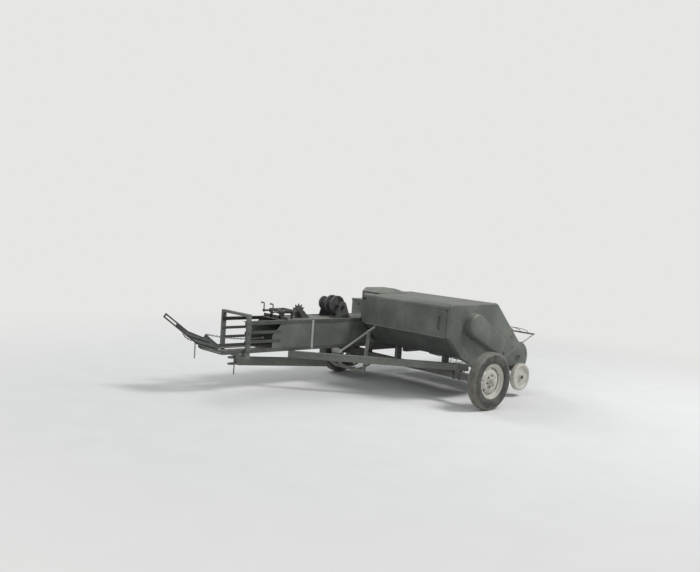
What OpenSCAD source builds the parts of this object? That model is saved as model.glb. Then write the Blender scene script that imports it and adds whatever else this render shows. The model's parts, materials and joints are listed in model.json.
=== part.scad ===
// Trailed square baler with a side pickup, standing parked on its two wheels and its drawbar jack.
// Working axes: x forward from the axle, y to the left of the case's middle, z up from the ground.

/* [Bale case] */
// Inside width of the bale chamber
chamber_w = 460; // [400:5:480]
// Inside height of the bale chamber
chamber_h = 356; // [330:2:370]
// Thickness of the chamber's plates
case_t = 5; // [4:1:8]
// Height of the chamber's underside above the ground
case_z = 469; // [465:1:480]
// Front end of the chamber, ahead of the axle
case_front = 1300; // [1250:10:1350]
// Where the closed side panels end, behind the axle
panel_rear = 1700; // [1600:10:1800]
// Rear end of the open rails, behind the axle
case_rear = 2400; // [2350:10:2450]
// Rear end of the upper and side rails, behind the axle
upper_rear = 2110; // [2080:10:2200]
// Leg of the angle irons along the chamber's corners
angle_leg = 40; // [30:1:45]

/* [Needles and knotter] */
// Radius on which the needles swing
needle_r = 530; // [520:1:540]
// Sideways place of each needle from the middle
needle_y = 100; // [85:1:115]
// Height of the needle yoke's pivot
yoke_z = 660; // [650:1:665]
// Radius of a knotter disc
disc_r = 120; // [100:1:130]

/* [Hood and feeder] */
// Right-hand end of the feeder, from the middle of the case
hood_right = 1755; // [1700:5:1800]
// Left-hand end of the hood, from the middle of the case
hood_left = 270; // [262:1:280]
// Height of the hood's top
hood_top = 1190; // [1170:5:1220]
// Thickness of the hood's sheet
hood_t = 4; // [3:1:5]
// Radius of the hood's rounded edges
hood_round = 70; // [55:5:90]
// Radius of the cross auger's flight
auger_r = 165; // [140:5:170]

/* [Pickup] */
// Outer radius of the stripper bands
band_r = 195; // [185:1:200]
// Radius that the tine tips sweep
tine_r = 262; // [240:1:275]
// Number of stripper bands
band_count = 13; // [9:1:15]
// Radius of the gauge wheel
gauge_r = 174; // [165:1:180]

/* [Wheels and axle] */
// Outer radius of a main tyre
tyre_r = 340; // [330:1:345]
// Width of a main tyre
tyre_w = 140; // [132:1:150]
// Radius of the rim's flange
rim_r = 208; // [200:1:215]
// Place of the right-hand wheel, from the middle of the case
wheel_right_y = 2185; // [2160:5:2200]
// Place of the left-hand wheel, from the middle of the case
wheel_left_y = 425; // [420:1:440]

/* [Drawbar and drive] */
// Height of the flywheel's shaft
drive_z = 700; // [695:1:720]
// Radius of the flywheel
flywheel_r = 300; // [270:5:305]
// Distance from the chamber's front end to the drawbar's swing pin
swing_lead = 660; // [640:5:700]
// Distance from the swing pin to the hitch pin
drawbar_l = 980; // [900:10:1050]
// Height of the drawbar's middle
drawbar_z = 340; // [330:1:342]
// Radius of the hitch pin's hole
hitch_bore_r = 16; // [13:0.5:18]
// Radius of the bore that takes the tractor's splined shaft
spline_bore_r = 17.6; // [17.4:0.1:18]

/* [Bale chute] */
// Length of the chute's long bar
chute_l = 625; // [600:5:650]
// Slope at which the chute stands
chute_slope = 36; // [28:1:40]
// Width of the chute
chute_w = 440; // [400:5:460]

/* [Hidden] */
$fn = 48;

// Running clearance in a plain bearing, and the gap at a seat between two pieces
run = 0.05;
seat = 0.3;

case_top_z = case_z + 2 * case_t + chamber_h;
case_half = chamber_w / 2 + case_t;
case_out = case_half + case_t;
roof_z = case_top_z - case_t;
floor_z = case_z + case_t;

// Needle yoke
yoke_x = -150;
needle_t = 14;
needle_deep = 28;
yoke_pin_r = 18;
yoke_arm_y = case_out + 45;
slot_x = [-700, -590];
slot_w = 40;

// Knotter
knotter_x = -540;
knotter_z = case_top_z + 160;
knotter_half = 170;
knotter_shaft_r = 16;
meter_c = [-1140, case_top_z + 75];
meter_pin_r = 12;

// Tension gear and rear hoop
tube_x = [-1520, -1270];
tube_y = 90;
tube_z = case_top_z + 91;
tube_r = 26;
screw_r = 11;
crank_x = -1610;
crank_r = 9;
crank_l = 100;
tube_plates = [-1490, -1310];
plate_half = 8;
hoop_x = [10 - upper_rear, 60 - upper_rear];
hoop_w = 40;
hoop_z = [case_z - 40, case_top_z + 60];

// Hood and feeder
hood_x = [-284, 680];
groove_z = hood_top - hood_round - 9;
door_bottom = 793;
door_axis = [hood_x[0] - 6, groove_z + 1];
door_pin_r = 3;
door_hinges = [-600, -1010, -1420];
hump_x = [-250, 290];
hump_y = [-520, -hood_left + 60];
lip_x = 865;
lip_z = 968;
deck_z = 529;
deck_front = 760;
auger_c = [330, 745];
cover_deep = [80, 115];
auger_tube_r = 45;
auger_pin_r = 20;

// Pickup: the hinge at its rear and the reel's middle
pickup_pivot = [830, 560];
reel_c = [1170, 480];
pickup_y = [-1730, -410];
plate_t = 8;
pivot_pin_r = 18;
band_edge = 8;
band_gap = 34;
band_t = 4;
band_pitch = (pickup_y[1] - pickup_y[0] - 2 * (plate_t + band_edge)) / band_count;
skirt_x = 885;
skirt_top = 652;
tie_c = [896, 392];
tie_r = 16;
guard_arm_r = 7;
guard_pin_r = 12;
guard_hub_w = 16;
guard_pivot = [900, 655];
guard_bar = [1510, 765];
finger_bend = [1420, 820];
finger_tip = [1010, 875];
finger_r = 5;
gauge_c = [1032, 258];
gauge_y = -1880;
gauge_w = 70;

// Axle
axle_z = tyre_r;
axle_box = 80;
axle_top = axle_z - 15 + axle_box / 2;
spindle_r = 22;
rim_w = 105;
rim_lip = 18;
cap_out = 95;

// Frame, gearbox, flywheel and drawbar
swing_x = case_front + swing_lead;
sill_front = case_front + 300;
gear_front = case_front + 260;
gear_neck_r = 70;
gear_bore_r = 30;
wheel_gap = 25;
flywheel_x = gear_front + 90;
flywheel_w = 90;
flywheel_rim = 40;
hub_r = 46;
joint_ball_r = 40;
sill_y = 150;
sill_box = [60, 74];
spine_box = [80, 80];
swing_pin_r = 20;
drawbar_box = [100, 80];
ear_t = 16;
hitch_x = swing_x + drawbar_l;
hitch_r = 45;
shaft_r = 24;
stand_x = swing_x + 480;
yoke_end_x = swing_x + 760;
jack_x = swing_x + 520;
jack_y = drawbar_box[0] / 2 + 60;
jack_lead = 15;
jack_pin_r = 20;
jack_foot_r = 54;

// Diagonal beam, feeder stay and wagon hitch
strut_rear = [-1440, -230];
strut_front = [85, -1800];
strut_deep = 80;
strut_wide = 70;
stay_x = -700;
stay_r = 13;
stay_y = -520;
tow_x = -2120;
tow_z = [298, 373];
tow_t = 18;
tow_r = 38;
tow_bore_r = 14;
tow_wall = [65, 85];
tow_beam = [100, 70];
tow_fall = 110;
tow_front = -640;
tow_posts = [[-720, 62], [-1960, -26]];
pin_c = [tow_x + 20, -tow_r - 8];
pin_r = 7;
pin_z = [180, tow_z[1] + 11];

// Twine box
box_x = [370, 980];
box_y = [250, 640];
box_z = [560, 1000];
box_t = 4;
lid_lip = 6;
knuckle_r = 7;
lid_pin_r = 4;
lid_axis = [box_y[0] - knuckle_r, box_z[1] + 2];

// Chute
chute_x = -case_rear - 12;
chute_z = case_z + 30;
chute_sheet = [300, 415];
chute_lead = 45;
chute_wall = 38;
chute_rod_r = 8;
chute_pin_r = 8;
bar_z = [-11, 45];
bar_slot_x = [430, 605];
bar_slot_z = [6, 28];
chain_r = 6;
chain_hook = 80;
chain_l = 190;

// The box that the whole baler fills, from the pieces that reach furthest
rear_x = chute_x - chute_l * cos(chute_slope) + bar_z[0] * sin(chute_slope);
front_x = hitch_x + hitch_r;
right_y = -(wheel_right_y + cap_out);
left_y = box_y[1] + lid_lip;
mid = [(rear_x + front_x) / 2, (right_y + left_y) / 2, 0];

paint = "#5d615c";
paint_light = "#7b7f79";
paint_dark = "#454845";
wheel_paint = "#d8d6cc";
rubber = "#2b2b2b";
bare_steel = "#8b8a85";
cast = "#50524f";

// A round bar between two points
module rod(p, q, r) {
    v = q - p;
    l = norm(v);
    translate(p) rotate([0, acos(v[2] / l), atan2(v[1], v[0])]) cylinder(h = l, r = r);
}

// A box beam between two points: deep is its upright side and wide its level side
module beam(p, q, deep, wide) {
    v = q - p;
    l = norm(v);
    translate(p) rotate([0, acos(v[2] / l), atan2(v[1], v[0])])
        translate([-deep / 2, -wide / 2, 0]) cube([deep, wide, l]);
}

// A box from its lowest to its highest corner
module span(a, b) {
    translate(a) cube(b - a);
}

// Carries an outline drawn in x and z from y0 to y1
module across(y0, y1) {
    translate([0, y1, 0]) rotate([90, 0, 0]) linear_extrude(y1 - y0) children();
}

// A disc on a cross axis at c = [x, z]
module cross_disc(c, r, y0, y1) {
    translate([c[0], y1, c[1]]) rotate([90, 0, 0]) cylinder(h = y1 - y0, r = r);
}

// A disc on a lengthwise axis through y = 0
module long_disc(x0, x1, z, r) {
    translate([x0, 0, z]) rotate([0, 90, 0]) cylinder(h = x1 - x0, r = r);
}

function arc(c, r, a0, a1, n) = [for (i = [0:n]) c + r * [cos(a0 + (a1 - a0) * i / n),
    sin(a0 + (a1 - a0) * i / n)]];

// Bale case

module case_floor() color(paint_dark) {
    difference() {
        span([-panel_rear, -case_half, case_z], [case_front, case_half, floor_z]);
        for (s = [-1, 1])
            span([slot_x[0], s * needle_y - slot_w / 2, case_z - 1], [slot_x[1],
                s * needle_y + slot_w / 2, floor_z + 1]);
    }
    span([-case_rear, -60, case_z], [-panel_rear, 60, floor_z]);
    for (s = [-1, 1])
        span([-case_rear, s > 0 ? case_half - 90 : -case_half, case_z],
            [-panel_rear, s > 0 ? case_half : 90 - case_half, floor_z]);
    span([-case_rear, angle_leg - case_half, case_z - 8], [-case_rear + 60, case_half - angle_leg, case_z]);
}

// A side panel seen from the side, cut slanting at its rear
module side_outline() {
    polygon([[-panel_rear, floor_z], [case_front, floor_z], [case_front, roof_z],
        [-panel_rear + 160, roof_z], [-panel_rear, floor_z + 185]]);
}

module case_side_right() color(paint) {
    difference() {
        across(-case_half, case_t - case_half) side_outline();
        span([30, -case_half - 1, deck_z + 6], [630, 1 + case_t - case_half, roof_z - 15]);
    }
    cross_disc([yoke_x, yoke_z], yoke_pin_r, -yoke_arm_y - 12, -case_half);
    cross_disc([yoke_x, yoke_z], 40, -case_half - 14, -case_half);
}

module case_side_left() color(paint) {
    across(case_half - case_t, case_half) side_outline();
    cross_disc([yoke_x, yoke_z], yoke_pin_r, case_half, yoke_arm_y + 12);
    cross_disc([yoke_x, yoke_z], 40, case_half, case_half + 14);
}

module case_top() color(paint) difference() {
    span([-panel_rear + 160, -case_half, roof_z], [case_front, case_half, case_top_z]);
    for (s = [-1, 1])
        span([slot_x[0], s * needle_y - slot_w / 2, roof_z - 1], [slot_x[1],
            s * needle_y + slot_w / 2, case_top_z + 1]);
    span([meter_c[0] - 125, -16, roof_z - 1], [meter_c[0] + 85, 16, case_top_z + 1]);
}

// Angle irons along the chamber's four corners
module corner_iron(x0, x1, low) {
    for (s = [-1, 1]) mirror([0, s > 0 ? 0 : 1, 0]) {
        if (low) {
            span([x0, case_half, case_z - case_t], [x1, case_out, case_z + angle_leg]);
            span([x0, case_half - angle_leg, case_z - case_t], [x1, case_half, case_z]);
        } else {
            span([x0, case_half, case_top_z - angle_leg], [x1, case_out, case_top_z + case_t]);
            span([x0, case_half - angle_leg, case_top_z], [x1, case_half, case_top_z + case_t]);
        }
    }
}

module lower_rails() color(paint_dark) difference() {
    union() {
        corner_iron(-case_rear, case_front, true);
        for (s = [-1, 1])
            across(s > 0 ? case_half : -case_out, s > 0 ? case_out : -case_half) polygon([
                [-case_rear, case_z - case_t], [-case_rear, case_z + angle_leg], [chute_x - 2, chute_z + 18],
                [chute_x - 18, chute_z + 4], [chute_x - 18, chute_z - 14]]);
    }
    cross_disc([chute_x, chute_z], chute_pin_r + run, -case_out - 10, case_out + 10);
}

module upper_rails() color(paint_dark) corner_iron(-upper_rear, case_front, false);

module side_rails() color(paint_dark) for (s = [-1, 1], z = [case_z + 110, case_z + 220])
    span([-upper_rear, s > 0 ? case_half : -case_out, z],
        [-panel_rear + 120, s > 0 ? case_out : -case_half, z + 34]);

// Two spring tubes over the case, each with its screw and crank
module tension_gear() color(bare_steel) {
    for (s = [-1, 1]) {
        y = s * tube_y;
        rod([tube_x[0], y, tube_z], [tube_x[1], y, tube_z], tube_r);
        rod([crank_x - crank_r - 1, y, tube_z], [tube_x[0], y, tube_z], screw_r);
        rod([crank_x, y, tube_z], [crank_x, y, tube_z + crank_l], crank_r);
        rod([crank_x - 45, y, tube_z + crank_l - 3], [crank_x + crank_r, y, tube_z + crank_l - 3], screw_r);
    }
    for (x = tube_plates)
        span([x - plate_half, -tube_y - tube_r, case_top_z], [x + plate_half, tube_y + tube_r, tube_z + 9]);
    span([tube_plates[0] - plate_half, -case_out, case_top_z + case_t],
        [tube_plates[0] + plate_half, case_out, case_top_z + angle_leg]);
}

module rear_hoop() color(paint) {
    for (s = [-1, 1])
        span([hoop_x[0], s > 0 ? case_out : -case_out - hoop_w, hoop_z[0]],
            [hoop_x[1], s > 0 ? case_out + hoop_w : -case_out, hoop_z[1]]);
    span([hoop_x[0], -case_out - hoop_w, hoop_z[1]], [hoop_x[1], case_out + hoop_w, hoop_z[1] + 30]);
    span([hoop_x[0], -case_out - hoop_w, hoop_z[0] - 25], [hoop_x[1], case_out + hoop_w, hoop_z[0]]);
}

// Knotter and needles

module knotter_frame() color(cast) {
    for (s = [-1, 1]) difference() {
        across(s * knotter_half - 8, s * knotter_half + 8) polygon(concat(
            [[knotter_x - 110, case_top_z], [knotter_x + 130, case_top_z]],
            arc([knotter_x, knotter_z], 55, 20, 160, 10)));
        cross_disc([knotter_x, knotter_z],
            knotter_shaft_r + run, s * knotter_half - 20, s * knotter_half + 20);
    }
    bar = [knotter_x + 85, case_top_z + 40];
    cross_disc(bar, 12, -knotter_half, knotter_half);
    for (s = [-1, 1]) {
        rod([bar[0], s * needle_y, bar[1]], [knotter_x + 12, s * needle_y, case_top_z + 92], 9);
        span([knotter_x + 80, s * needle_y - 25, case_top_z],
            [knotter_x + 120, s * needle_y + 25, case_top_z + 80]);
    }
}

module knotter_shaft() color(cast) {
    cross_disc([knotter_x, knotter_z], knotter_shaft_r, -knotter_half - 40, knotter_half + 90);
    for (s = [-1, 1]) difference() {
        cross_disc([knotter_x, knotter_z], disc_r, s * 52 - 14, s * 52 + 14);
        cross_disc([knotter_x, knotter_z], disc_r - 22, s > 0 ? 56 : -70, s > 0 ? 70 : -56);
    }
    for (s = [-1, 1]) cross_disc([knotter_x, knotter_z], 36, s > 0 ? 56 : -80, s > 0 ? 80 : -56);
    cross_disc([knotter_x, knotter_z], 90, knotter_half + 30, knotter_half + 48);
    cross_disc([knotter_x, knotter_z], 50, knotter_half + 48, knotter_half + 85);
}

// Toothed wheel that measures the bale's length through a slot in the roof
module metering_wheel() color(cast) {
    cross_disc(meter_c, 60, -5, 5);
    cross_disc(meter_c, meter_pin_r, -54, 54);
    for (i = [0:11]) translate([meter_c[0], 0, meter_c[1]]) rotate([0, i * 30, 0])
        translate([50, -4, -9]) cube([58, 8, 18]);
}

module metering_arm() color(paint_dark) {
    for (s = [-1, 1]) difference() {
        across(s * 45 - 4, s * 45 + 4) polygon(concat(
            arc(meter_c, 24, 90, 250, 8),
            [[meter_c[0] + 40, case_top_z], [meter_c[0] + 150, case_top_z],
                [meter_c[0] + 60, meter_c[1] + 10]]));
        cross_disc(meter_c, meter_pin_r + run, s * 45 - 10, s * 45 + 10);
    }
    span([meter_c[0] + 118, -45, case_top_z], [meter_c[0] + 134, 45, case_top_z + 24]);
}

// Two needles on a cross tube, with an arm to the pivot at each side of the case
module needle_yoke() color(paint_light) {
    for (s = [-1, 1]) across(s * needle_y - needle_t / 2, s * needle_y + needle_t / 2)
        polygon(concat(
            arc([yoke_x, yoke_z], needle_r - needle_deep / 2, 206, 318, 24),
            arc([yoke_x, yoke_z], needle_r + needle_deep / 2, 318, 212, 24),
            [[yoke_x, yoke_z] + (needle_r + 4) * [cos(204.6), sin(204.6)]]));
    tube = [yoke_x, yoke_z] + needle_r * [cos(265), sin(265)];
    cross_disc(tube, 22, -yoke_arm_y - 8, yoke_arm_y + 8);
    for (s = [-1, 1]) difference() {
        union() {
            across(s * yoke_arm_y - 7, s * yoke_arm_y + 7)
                polygon([tube + [-26, 0], tube + [26, 0], [yoke_x + 28, yoke_z], [yoke_x - 28, yoke_z]]);
            cross_disc([yoke_x, yoke_z], 34, s * yoke_arm_y - 9, s * yoke_arm_y + 9);
        }
        cross_disc([yoke_x, yoke_z], yoke_pin_r + run, s * yoke_arm_y - 20, s * yoke_arm_y + 20);
    }
}

// Frame, drive and running gear

module front_frame() color(paint_dark) {
    top = case_z - case_t;
    for (s = [-1, 1])
        span([-axle_box / 2, s * sill_y - sill_box[0] / 2, top - sill_box[1]],
            [sill_front, s * sill_y + sill_box[0] / 2, top]);
    for (x = [case_front - 400, case_front + 220])
        span([x, -sill_y - sill_box[0] / 2, top - sill_box[1] - 10],
            [x + 60, sill_y + sill_box[0] / 2, top - sill_box[1]]);
    spine_top = top - sill_box[1] - 10;
    span([case_front - 440, -spine_box[0] / 2, spine_top - spine_box[1]],
        [swing_x - 70, spine_box[0] / 2, spine_top]);
    span([swing_x - 71, -spine_box[0] / 2, drawbar_z - ear_t],
        [swing_x, spine_box[0] / 2, drawbar_z + ear_t]);
    translate([swing_x, 0, drawbar_z - ear_t]) cylinder(h = 2 * ear_t, r = spine_box[0] / 2);
    translate([swing_x, 0, drawbar_z - ear_t - 40]) cylinder(h = 2 * ear_t + 80, r = swing_pin_r);
    span([-axle_box / 2, -sill_y - sill_box[0] / 2, axle_z + axle_box / 2 - 15],
        [axle_box / 2, sill_y + sill_box[0] / 2, top - sill_box[1]]);
}

module gearbox() color(cast) {
    span([case_front, -case_half, case_z], [case_front + 12, case_half, case_top_z]);
    span([case_front + 12, -180, case_z - case_t], [gear_front, 180, drive_z]);
    cross_disc([case_front + 136, drive_z], 124, -180, 180);
    difference() {
        long_disc(gear_front, flywheel_x - wheel_gap, drive_z, gear_neck_r);
        long_disc(gear_front + 1, flywheel_x, drive_z, gear_bore_r + run);
    }
}

module flywheel() color(paint_light) {
    difference() {
        long_disc(flywheel_x, flywheel_x + flywheel_w, drive_z, flywheel_r);
        long_disc(flywheel_x - 1, flywheel_x + flywheel_w + 1, drive_z, flywheel_r - flywheel_rim);
    }
    long_disc(flywheel_x + 30, flywheel_x + 54, drive_z, flywheel_r - flywheel_rim + 2);
    long_disc(flywheel_x - 10, flywheel_x + 235, drive_z, hub_r);
    long_disc(gear_front + 2, flywheel_x - 9, drive_z, gear_bore_r);
    long_disc(flywheel_x + 234, swing_x - 20, drive_z, 22);
    difference() {
        translate([swing_x, 0, drive_z]) sphere(r = joint_ball_r);
        long_disc(swing_x + joint_ball_r - 4, swing_x + joint_ball_r + 1, drive_z, joint_ball_r);
    }
}

module axle() color(paint_dark) {
    span([-axle_box / 2, -(wheel_right_y - 160), axle_top - axle_box],
        [axle_box / 2, wheel_left_y - 105, axle_top]);
    cross_disc([0, axle_z], spindle_r, -(wheel_right_y + 75), -(wheel_right_y - 161));
    cross_disc([0, axle_z], spindle_r, wheel_left_y - 106, wheel_left_y + 75);
    for (y = [-700, -1500])
        span([-axle_box / 2, y - 25, axle_top], [axle_box / 2, y + 25, deck_z - seat]);
}

// From under the case to a saddle on the axle beside the right-hand wheel
module diagonal_beam() color(paint) {
    z = case_z - case_t - strut_deep / 2;
    beam([strut_rear[0], strut_rear[1], z], [strut_front[0], strut_front[1], z], strut_deep, strut_wide);
    span([-axle_box / 2, strut_front[1] + 50, axle_top + seat],
        [axle_box / 2, strut_front[1] + 110, z - strut_deep / 2 + 1]);
}

module feeder_stay() color(paint_light) {
    rod([stay_x, -case_out - 105, case_z - 38], [hood_x[0] - 1, stay_y, door_bottom - 38], stay_r);
    span([stay_x - 30, -case_out - 118, case_z - 52],
        [stay_x + 30, case_t - case_out, case_z - case_t - seat]);
    across(stay_y - 4, stay_y + 4) polygon([
        [hood_x[0] - 26, door_bottom - 52], [hood_x[0] + 10, door_bottom - 58],
        [hood_x[0] + 38, door_bottom - 40], [hood_x[0] + 12, door_bottom - 13],
        [hood_x[0] - 2, door_bottom - 16]]);
}

// Jaw for a wagon's pole
module wagon_hitch() color(paint) difference() {
    union() {
        for (z = tow_z) {
            translate([tow_x, 0, z]) cylinder(h = tow_t, r = tow_r);
            span([tow_x, -tow_r, z], [tow_x + tow_wall[1], tow_r, z + tow_t]);
        }
        span([tow_x + tow_wall[0], -tow_r, tow_z[0]], [tow_x + tow_wall[1], tow_r, tow_z[1] + tow_t]);
    }
    translate([tow_x, 0, tow_z[0] - 48]) cylinder(h = 200, r = tow_bore_r);
}

// Beam under the case that carries the jaw
module hitch_beam() color(paint) {
    jaw_mid = (tow_z[0] + tow_z[1] + tow_t) / 2;
    difference() {
        beam([tow_x, 0, jaw_mid], [tow_front, 0, jaw_mid - tow_fall], tow_beam[0], tow_beam[1]);
        span([tow_x - 60, -60, tow_z[0] - 60], [tow_x + tow_wall[1], 60, tow_z[1] + 120]);
    }
    for (p = tow_posts) span([p[0], -30, jaw_mid - p[1]], [p[0] + 60, 30, case_z]);
}

// Drop pin hanging beside the jaw
module wagon_pin() color(bare_steel) {
    rod([pin_c[0], pin_c[1], pin_z[0]], [pin_c[0], pin_c[1], pin_z[1]], pin_r);
    rod([pin_c[0], pin_c[1] - 4, pin_z[1] - 3], [pin_c[0], -tow_r - seat, pin_z[1] - 3], 4);
}

// A wheel on a cross axis at the origin, its outer side towards -y
module wheel_body(hub_bore) {
    difference() {
        rotate([90, 0, 0]) rotate_extrude($fn = 72) polygon([
            [rim_r, -rim_w / 2], [rim_r, -rim_w / 2 + 9], [rim_r - rim_lip, -rim_w / 2 + 16],
            [rim_r - rim_lip, rim_w / 2 - 16], [rim_r, rim_w / 2 - 9], [rim_r, rim_w / 2],
            [rim_r - 24, rim_w / 2 - 6], [rim_r - 34, rim_w / 2 - 28], [rim_r - 60, rim_w / 2 - 44],
            [rim_r - 90, rim_w / 2 - 26], [90, rim_w / 2 - 20], [78, rim_w / 2 - 34], [60, rim_w / 2 - 34],
            [60, rim_w / 2 - 22], [46, rim_w / 2 - 22], [46, 78], [38, cap_out - 8], [30, cap_out],
            [0, cap_out], [0, rim_w / 2 - 60], [52, rim_w / 2 - 60], [60, rim_w / 2 - 42],
            [rim_r - 92, rim_w / 2 - 34], [rim_r - 62, rim_w / 2 - 52], [rim_r - 40, rim_w / 2 - 36],
            [rim_r - 26, rim_w / 2 - 30], [rim_r - 26, -rim_w / 2 + 10]]);
        for (i = [0:7]) rotate([0, 22.5 + i * 45, 0]) translate([rim_r - 62, rim_w, 0]) rotate([90, 0, 0])
            cylinder(h = 3 * rim_w, r = 13);
    }
    difference() {
        rotate([90, 0, 0]) translate([0, 0, -55]) cylinder(h = 60, r = 48);
        rotate([90, 0, 0]) translate([0, 0, -56]) cylinder(h = 60, r = hub_bore);
    }
}

module wheel_at(y, outward) {
    translate([0, y, axle_z]) mirror([0, outward > 0 ? 1 : 0, 0]) difference() {
        wheel_body(spindle_r + run);
        rotate([90, 0, 0]) translate([0, 0, -80]) cylinder(h = 80 + 76, r = spindle_r + run);
    }
}

module wheel_right() color(wheel_paint) wheel_at(-wheel_right_y, -1);

module wheel_left() color(wheel_paint) wheel_at(wheel_left_y, 1);

module tyre_at(y) {
    h = tyre_w / 2;
    bead = rim_r - rim_lip;
    wall = tyre_r - rim_r;
    translate([0, y, axle_z]) rotate([90, 0, 0]) rotate_extrude($fn = 72) polygon(concat(
        [[bead + seat, 17 - rim_w / 2], [rim_r + 1, 10 - rim_w / 2], [rim_r + 4, -rim_w / 2 - 1],
            [rim_r + wall * 0.25, -h + 5], [rim_r + wall * 0.42, -h]],
        arc([tyre_r - 45, -h + 30], 30, 270, 315, 3),
        [[tyre_r - 12, -h + 22], [tyre_r - 4, -h + 40], [tyre_r, -h + 58],
            [tyre_r, h - 58], [tyre_r - 4, h - 40], [tyre_r - 12, h - 22]],
        arc([tyre_r - 45, h - 30], 30, 45, 90, 3),
        [[rim_r + wall * 0.42, h], [rim_r + wall * 0.25, h - 5],
            [rim_r + 4, rim_w / 2 + 1], [rim_r + 1, rim_w / 2 - 10], [bead + seat, rim_w / 2 - 17]]));
}

module tyre_right() color(rubber) tyre_at(-wheel_right_y);

module tyre_left() color(rubber) tyre_at(wheel_left_y);

// Hood over the feeder

// The hood's skin from its rear strip over the top and down the front slope, grown outwards by g
function skin(g) = concat(
    [[hood_x[0] - g, groove_z]],
    arc([hood_x[0] + hood_round, hood_top - hood_round], hood_round + g, 180, 90, 6),
    arc([hood_x[1] - hood_round, hood_top - hood_round], hood_round + g, 90, 46, 4),
    [[lip_x + g * 0.7, lip_z + g * 0.7]]);

module hood_shell() color(paint) {
    outer = skin(0);
    inner = skin(-hood_t);
    across(-hood_right + plate_t, -hood_left - hood_t)
        polygon(concat(outer, [for (i = [len(inner) - 1:-1:0]) inner[i]]));
    across(-hood_left - hood_t, -hood_left)
        polygon(concat(outer, [[lip_x, case_top_z + 10], [hood_x[0], case_top_z + 10]]));
    span([hood_x[0], -hood_left - 60, door_bottom], [hood_x[0] + hood_t, -hood_left - hood_t, groove_z]);
    for (y = door_hinges) {
        cross_disc(door_axis, door_pin_r, y - 30, y + 30);
        for (s = [-1, 1])
            span([door_axis[0] - 4, y + s * 28 - 2, groove_z], [hood_x[0], y + s * 28 + 2, groove_z + 8]);
    }
}

module hood_end_panel() color(paint) {
    across(-hood_right, plate_t - hood_right) polygon(concat(
        [[hood_x[0], door_bottom]],
        arc([hood_x[0] + hood_round, hood_top - hood_round], hood_round, 180, 90, 6),
        arc([hood_x[1] - hood_round, hood_top - hood_round], hood_round, 90, 46, 4),
        arc([1150, 640], 34, 46, -60, 5),
        [[870, 450], [520, 410], [210, 404], [127, 459], [-30, deck_z]]));
    cross_disc(pickup_pivot, pivot_pin_r, plate_t - hood_right, pickup_y[0] + plate_t + 6);
}

module hood_hump() color(paint) {
    hull() {
        span([hump_x[0], hump_y[0], hood_top + seat], [hump_x[1], hump_y[1], hood_top + 8]);
        span([hump_x[0] + 50, hump_y[0] + 90, hood_top + 40],
            [hump_x[1] - 160, hump_y[1] - 10, hood_top + 56]);
    }
    span([hump_x[0], -hood_left + seat, case_top_z + case_t + seat], [hump_x[1], hump_y[1], hood_top + 1]);
}

module drive_cover() color(paint_light) hull() for (c = [[150, 935, 150], [600, 690, 118]]) {
    cross_disc([c[0], c[1]], c[2], -hood_right - cover_deep[0], -hood_right, $fn = 32);
    cross_disc([c[0], c[1]], c[2] - 34, -hood_right - cover_deep[1], -hood_right, $fn = 32);
}

module rear_door() color(paint) difference() {
    union() {
        span([hood_x[0] - 5, -hood_right + 40, door_bottom - 12],
            [hood_x[0] - seat, -hood_left - 66, groove_z - 3]);
        for (y = door_hinges) cross_disc(door_axis, door_pin_r + 2.5, y - 24, y + 24);
    }
    for (y = door_hinges) cross_disc(door_axis, door_pin_r + run, y - 40, y + 40);
}

module door_latch() color(bare_steel) {
    y = -hood_right + 150;
    span([hood_x[0] - 13, y - 14, door_bottom + 70], [hood_x[0] - 5, y + 14, door_bottom + 240]);
    rod([hood_x[0] - 12, y, door_bottom + 100], [hood_x[0] - 34, y, door_bottom + 100], 7);
    rod([hood_x[0] - 34, y, door_bottom + 93], [hood_x[0] - 34, y, door_bottom + 225], 7);
    rod([hood_x[0] - 12, y, door_bottom + 218], [hood_x[0] - 34, y, door_bottom + 218], 7);
}

module feeder_deck() color(paint_dark) {
    across(-hood_right + plate_t, -yoke_arm_y - 45) polygon([
        [hood_x[0] + hood_t, door_bottom], [-30, deck_z], [0, deck_z], [0, deck_z + 5], [-27, deck_z + 5],
        [hood_x[0] + hood_t, door_bottom + 7]]);
    across(-hood_right + plate_t, -case_out) polygon([
        [0, deck_z], [deck_front, deck_z], [deck_front + 26, deck_z + 43], [deck_front + 20, deck_z + 45],
        [deck_front - 4, deck_z + 5], [0, deck_z + 5]]);
    cross_disc(auger_c, auger_pin_r, -hood_right + plate_t, -hood_right + 60);
    across(-395, -385) polygon([[deck_front - 120, deck_z + 5], [deck_front - 4, deck_z + 5],
        [pickup_pivot[0] + 30, pickup_pivot[1] + 20], [pickup_pivot[0] + 30, pickup_pivot[1] - 40],
        [deck_front - 120, deck_z - 60]]);
    cross_disc(pickup_pivot, pivot_pin_r, pickup_y[1] - plate_t - 6, -390);
}

module auger() color(bare_steel) {
    left = -case_out - 60;
    right = -hood_right + 40;
    difference() {
        cross_disc(auger_c, auger_tube_r, right, left);
        cross_disc(auger_c, auger_pin_r + run, right - 1, right + 60);
    }
    pitch = 380;
    l = left - right - 60;
    translate([auger_c[0], left - 20, auger_c[1]]) rotate([90, 0, 0])
        linear_extrude(l, twist = 360 * l / pitch, slices = ceil(l / 20), $fn = 4)
            translate([auger_tube_r + seat, -4]) square([auger_r - auger_tube_r, 8]);
}

// Pickup

module pickup_plate(y) {
    across(y, y + plate_t) polygon(concat(
        arc(reel_c, band_r + 8, 85, -95, 16),
        [[930, 330], [pickup_pivot[0] - 34, pickup_pivot[1] - 40],
            [pickup_pivot[0] - 34, pickup_pivot[1] + 20], [guard_pivot[0] - 30, guard_pivot[1] + 22],
            [guard_pivot[0] + 20, guard_pivot[1] + 28]]));
}

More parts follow.
